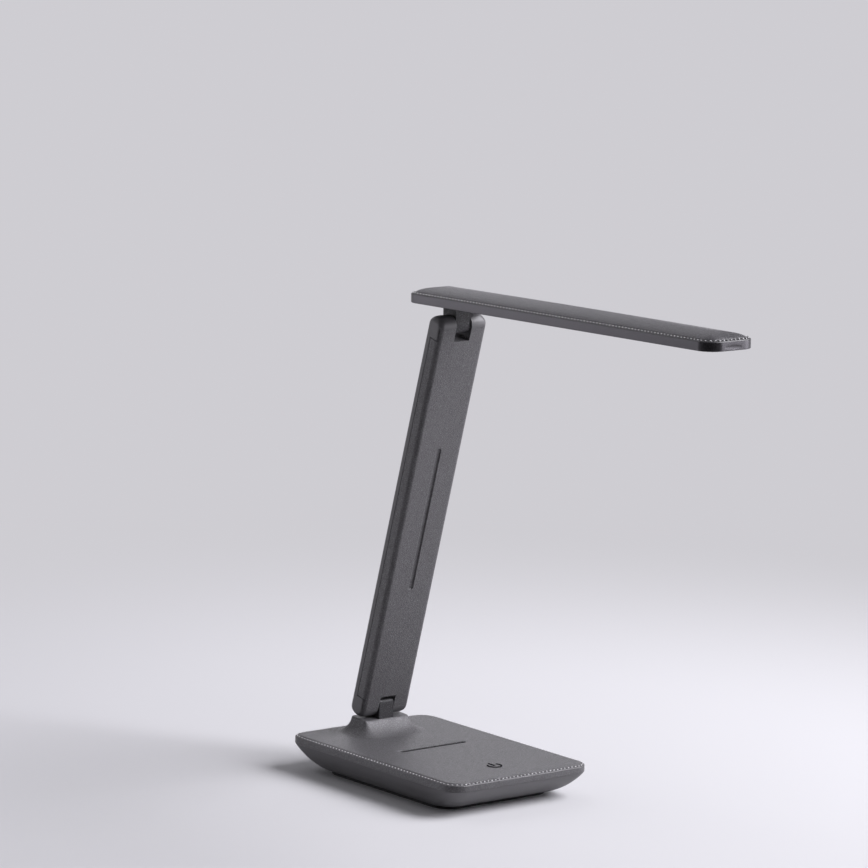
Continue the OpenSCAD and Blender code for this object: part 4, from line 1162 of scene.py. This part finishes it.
# %% [markdown]
# Pieces that keep their solids
#
# Knuckles, covers and hardware already have their true shape. They get a broken edge and a finish,
# and stand for their nodes. Pieces inside the covers only get their materials.

# %% Hinge pieces and underside
merge_within = 0.001
flat_within = math.radians(0.3)


def dressed(node, body, finish, width=0.15):
    """A model solid with merged points and soft edges, which stands for the node."""
    mesh = nodes[node].data.copy()
    mesh.transform(Matrix.Scale(1 / MM, 4))
    edit = bmesh.new()
    edit.from_mesh(mesh)
    bmesh.ops.remove_doubles(edit, verts=edit.verts, dist=merge_within)
    bmesh.ops.dissolve_limit(edit, angle_limit=flat_within, verts=edit.verts, edges=edit.edges)
    edit.to_mesh(mesh)
    edit.free()
    piece = soften(new_object(node + "_soft", mesh), width)
    return seat(piece, base_place, body, finish, (node,))


dressed("base_knuckle", "base", hinge_grain, 0.8)
dressed("hub_knuckle", "hub", hinge_grain, 0.35)
dressed("head_bottom_cover", "head", shell_satin, 0.15)
dressed("foot_pad", "base", foot_rubber, 0.3)
dressed("head_screws", "head", zinc, 0.06)
dressed("diffuser", "head", opal_white, 0.1)
dressed("charging_socket", "base", zinc, 0.05)

# %% Materials of the carried-over nodes
spring_steel = metal("spring steel", (0.50, 0.48, 0.45), 0.34)
ballast_iron = metal("raw ballast plate", (0.30, 0.30, 0.31), 0.55)
clear_white = opal("light pipe", (0.80, 0.81, 0.80))
cell_foil = metal("cell foil", (0.50, 0.54, 0.60), 0.42, (3, 3, 3))
board_green = satin("solder mask", (0.02, 0.10, 0.045), 0.30)
copper = metal("copper foil", (0.72, 0.42, 0.22), 0.35)
black_lead = rubber("black lead", (0.015, 0.015, 0.017))
red_lead = rubber("red lead", (0.30, 0.02, 0.015))
foam = rubber("cell foam", (0.05, 0.05, 0.05))
white_film = opal("white film", (0.90, 0.90, 0.90))
phosphor = opal("phosphor", (0.90, 0.70, 0.20))
finishes = {
    "charge_light_pipe": clear_white, "battery_cell": cell_foil,
    "control_board": board_green, "touch_sensor": copper, "arm_wire": black_lead,
    "head_wire": black_lead, "base_wires": red_lead, "cell_foam": foam, "reflector": white_film,
    "led_strips": white_film, "light_guide": clear_white, "leds": phosphor,
    "ballast_plate": ballast_iron, "lower_hinge_washers": spring_steel,
    "upper_hinge_washers": spring_steel, "wave_washer": spring_steel,
}
for name, node in nodes.items():
    node.data.materials.clear()
    node.data.materials.append(finishes.get(name, zinc))
print(len(finishes), "nodes have their own finish, the others are zinc plated")

# %% [markdown]
# Floor and backdrop
#
# The lamp stands on a pale floor that runs on into a pale backdrop. One floor plane does both: near
# the lamp it is lit like any surface and takes the shadow, and far away it turns into an even glow.
# The glow is shown to camera, glossy and transmission rays alone: the lamp mirrors it, but isn't lit
# by it.

# %% Floor
reach = 30.0
fade_from, fade_to = 0.25, 0.8
floor_mesh = bpy.data.meshes.new("floor")
floor_mesh.from_pydata([(-reach, -reach, 0), (reach, -reach, 0), (reach, reach, 0), (-reach, reach, 0)],
                       [], [(0, 1, 2, 3)])
floor = new_object("floor", floor_mesh)
pale = Finish("pale floor", (0.68, 0.68, 0.693), 0.9)
pale.set("Specular IOR Level", 0.0)
glow = pale.node("Emission", out="Emission", Color=(0.62, 0.61, 0.645, 1), Strength=1.0)
path = pale.node("LightPath", out="Is Camera Ray")
seen = path.maths("MAXIMUM", path, path.other("Is Glossy Ray"))
seen = seen.maths("MAXIMUM", seen, path.other("Is Transmission Ray"))
away = pale.node("VectorMath", {"operation": "LENGTH"}, out="Value", Vector=pale.place)
fade = pale.span(away, fade_from, fade_to, "SMOOTHSTEP")
lit = Wire(pale.tree, pale.shader.outputs["BSDF"])
both = pale.node("MixShader", Fac=seen * fade, Shader=lit, Shader_001=glow)
feed(pale.tree, pale.tree.nodes["Material Output"].inputs["Surface"], both)
floor.data.materials.append(pale.material)
print(f"floor {2 * reach:.0f} m wide, a glow from {fade_to} m outwards")

# %% [markdown]
# Lights
#
# Dark covers are drawn by what they reflect, so each light here is a soft panel with a place of its
# own. The key stands high at the front right, lights the tops and casts the soft shadow to the left.
# A low panel at the front right fills the upright walls that face the camera. Panels at the rear
# left, at the rear right and above the rear draw the edges of the tops, and a faint one at the left
# keeps that side from going black. Together they light a level card about as its own colour says.

# %% Lights


def soft_light(name, direction, distance, width, height, radiance, aim=(0, -0.03, 0.12)):
    """A rectangular light of even radiance, aimed at the lamp."""
    data = bpy.data.lights.new(name, "AREA")
    data.shape = "RECTANGLE"
    data.size, data.size_y = width, height
    data.energy = math.pi * radiance * width * height
    data.color = (0.992, 0.978, 1.034)
    lamp = bpy.data.objects.new(name, data)
    lamp.visible_camera = False
    bpy.context.scene.collection.objects.link(lamp)
    towards = Vector(direction).normalized()
    lamp.location = Vector(aim) + towards * distance
    lamp.rotation_mode = "QUATERNION"
    lamp.rotation_quaternion = towards.to_track_quat("Z", "Y")
    print(f"{name}: {data.energy:.0f} W")
    return lamp


soft_light("key softbox", (0.59, -0.45, 0.67), 2.0, 1.6, 1.25, 9.6)
soft_light("front right softbox", (0.76, -0.62, 0.14), 1.7, 1.1, 0.8, 2.56)
soft_light("rear left softbox", (-0.66, 0.74, 0.12), 2.2, 1.0, 1.0, 1.6)
soft_light("left fill", (-0.85, 0.15, 0.35), 1.8, 1.2, 0.8, 0.64)
soft_light("rear right softbox", (0.63, 0.76, 0.20), 2.0, 1.4, 0.6, 1.28)
soft_light("close rear softbox", (0.25, 0.6, 0.7), 0.75, 0.35, 0.35, 1.04)
soft_light("rear high softbox", (-0.2, 0.75, 0.62), 1.6, 0.6, 0.5, 2.0)
world = bpy.data.worlds.new("studio")
world.use_nodes = True
world.node_tree.nodes["Background"].inputs["Color"].default_value = (0.148, 0.146, 0.153, 1)
bpy.context.scene.world = world
bpy.context.scene.view_settings.view_transform = "Standard"

# %% [markdown]
# Black cards
#
# Photographers stand black card beside a dark product to draw dark lines along its edges. Here one
# card is a curved wall on the camera's side of the lamp, and another lies on the floor in front of
# it. Both are hidden from the camera and cast no shadow, so only the covers' reflections know of
# them. The card on the floor is hidden from diffuse light too, so that it darkens nothing.

# %% Cards
card_low = 0.002
wall_r, wall_h, wall_steps = 1.1, 1.2, 24
wall_from, wall_to = 142, 298
sheet_near, sheet_far, sheet_steps = 0.15, 1.09, 12
sheet_from, sheet_to = 180, 278
card_black = Finish("black card", (0.01, 0.01, 0.01), 0.9).material


def black_card(name, points, steps):
    """A strip of black card between two rows of steps + 1 points, which only reflections see."""
    mesh = bpy.data.meshes.new(name)
    mesh.from_pydata(points, [], [(k, k + 1, k + steps + 2, k + steps + 1) for k in range(steps)])
    made = new_object(name, mesh)
    made.data.materials.append(card_black)
    made.visible_camera = False
    made.visible_shadow = False
    print(name, len(mesh.polygons), "faces")
    return made


flag = black_card("flag", [(wall_r * math.cos(turn), wall_r * math.sin(turn), z)
                           for z in (card_low, wall_h) for turn in arc(wall_from, wall_to, wall_steps)],
                  wall_steps)
card = black_card("floor_card", [(r * math.cos(turn), hinge.y + r * math.sin(turn), card_low)
                                 for r in (sheet_near, sheet_far)
                                 for turn in arc(sheet_from, sheet_to, sheet_steps)], sheet_steps)
card.visible_diffuse = False

# %% [markdown]
# Camera
#
# The camera stands where the photograph's stood. Its direction, roll and distance were fitted to the
# lamp's edges. The picture is centred on nothing in particular, so the camera is placed by one known
# point: the lower hinge has to fall on its own pixel.

# %% Camera
azimuth, elevation, roll = math.radians(-39.60), math.radians(9.85), math.radians(1.87)
focal_pixels, frame_pixels = 5054.75, 868
hinge_pixel = (379.41, 703.43)
hinge_distance = 2.95813
back = Vector((math.sin(azimuth) * math.cos(elevation), -math.cos(azimuth) * math.cos(elevation),
               math.sin(elevation)))
level = (-back).cross(Vector((0, 0, 1))).normalized()
upright = level.cross(-back)
right = level * math.cos(roll) + upright * math.sin(roll)
above = upright * math.cos(roll) - level * math.sin(roll)
aside = (hinge_pixel[0] - frame_pixels / 2) / focal_pixels * hinge_distance
below = (hinge_pixel[1] - frame_pixels / 2) / focal_pixels * hinge_distance
lens = bpy.data.cameras.new("camera")
lens.sensor_width = 36
lens.lens = focal_pixels / frame_pixels * lens.sensor_width
lens.clip_start, lens.clip_end = 0.1, 60
camera = bpy.data.objects.new("camera", lens)
bpy.context.scene.collection.objects.link(camera)
camera_at = hinge + back * hinge_distance - right * aside + above * below
camera_turn = Matrix((right, above, back)).transposed().to_4x4()
camera.matrix_world = Matrix.Translation(camera_at) @ camera_turn
bpy.context.scene.camera = camera
print(f"camera {hinge_distance:.2f} m from the hinge, lens {lens.lens:.0f} mm")
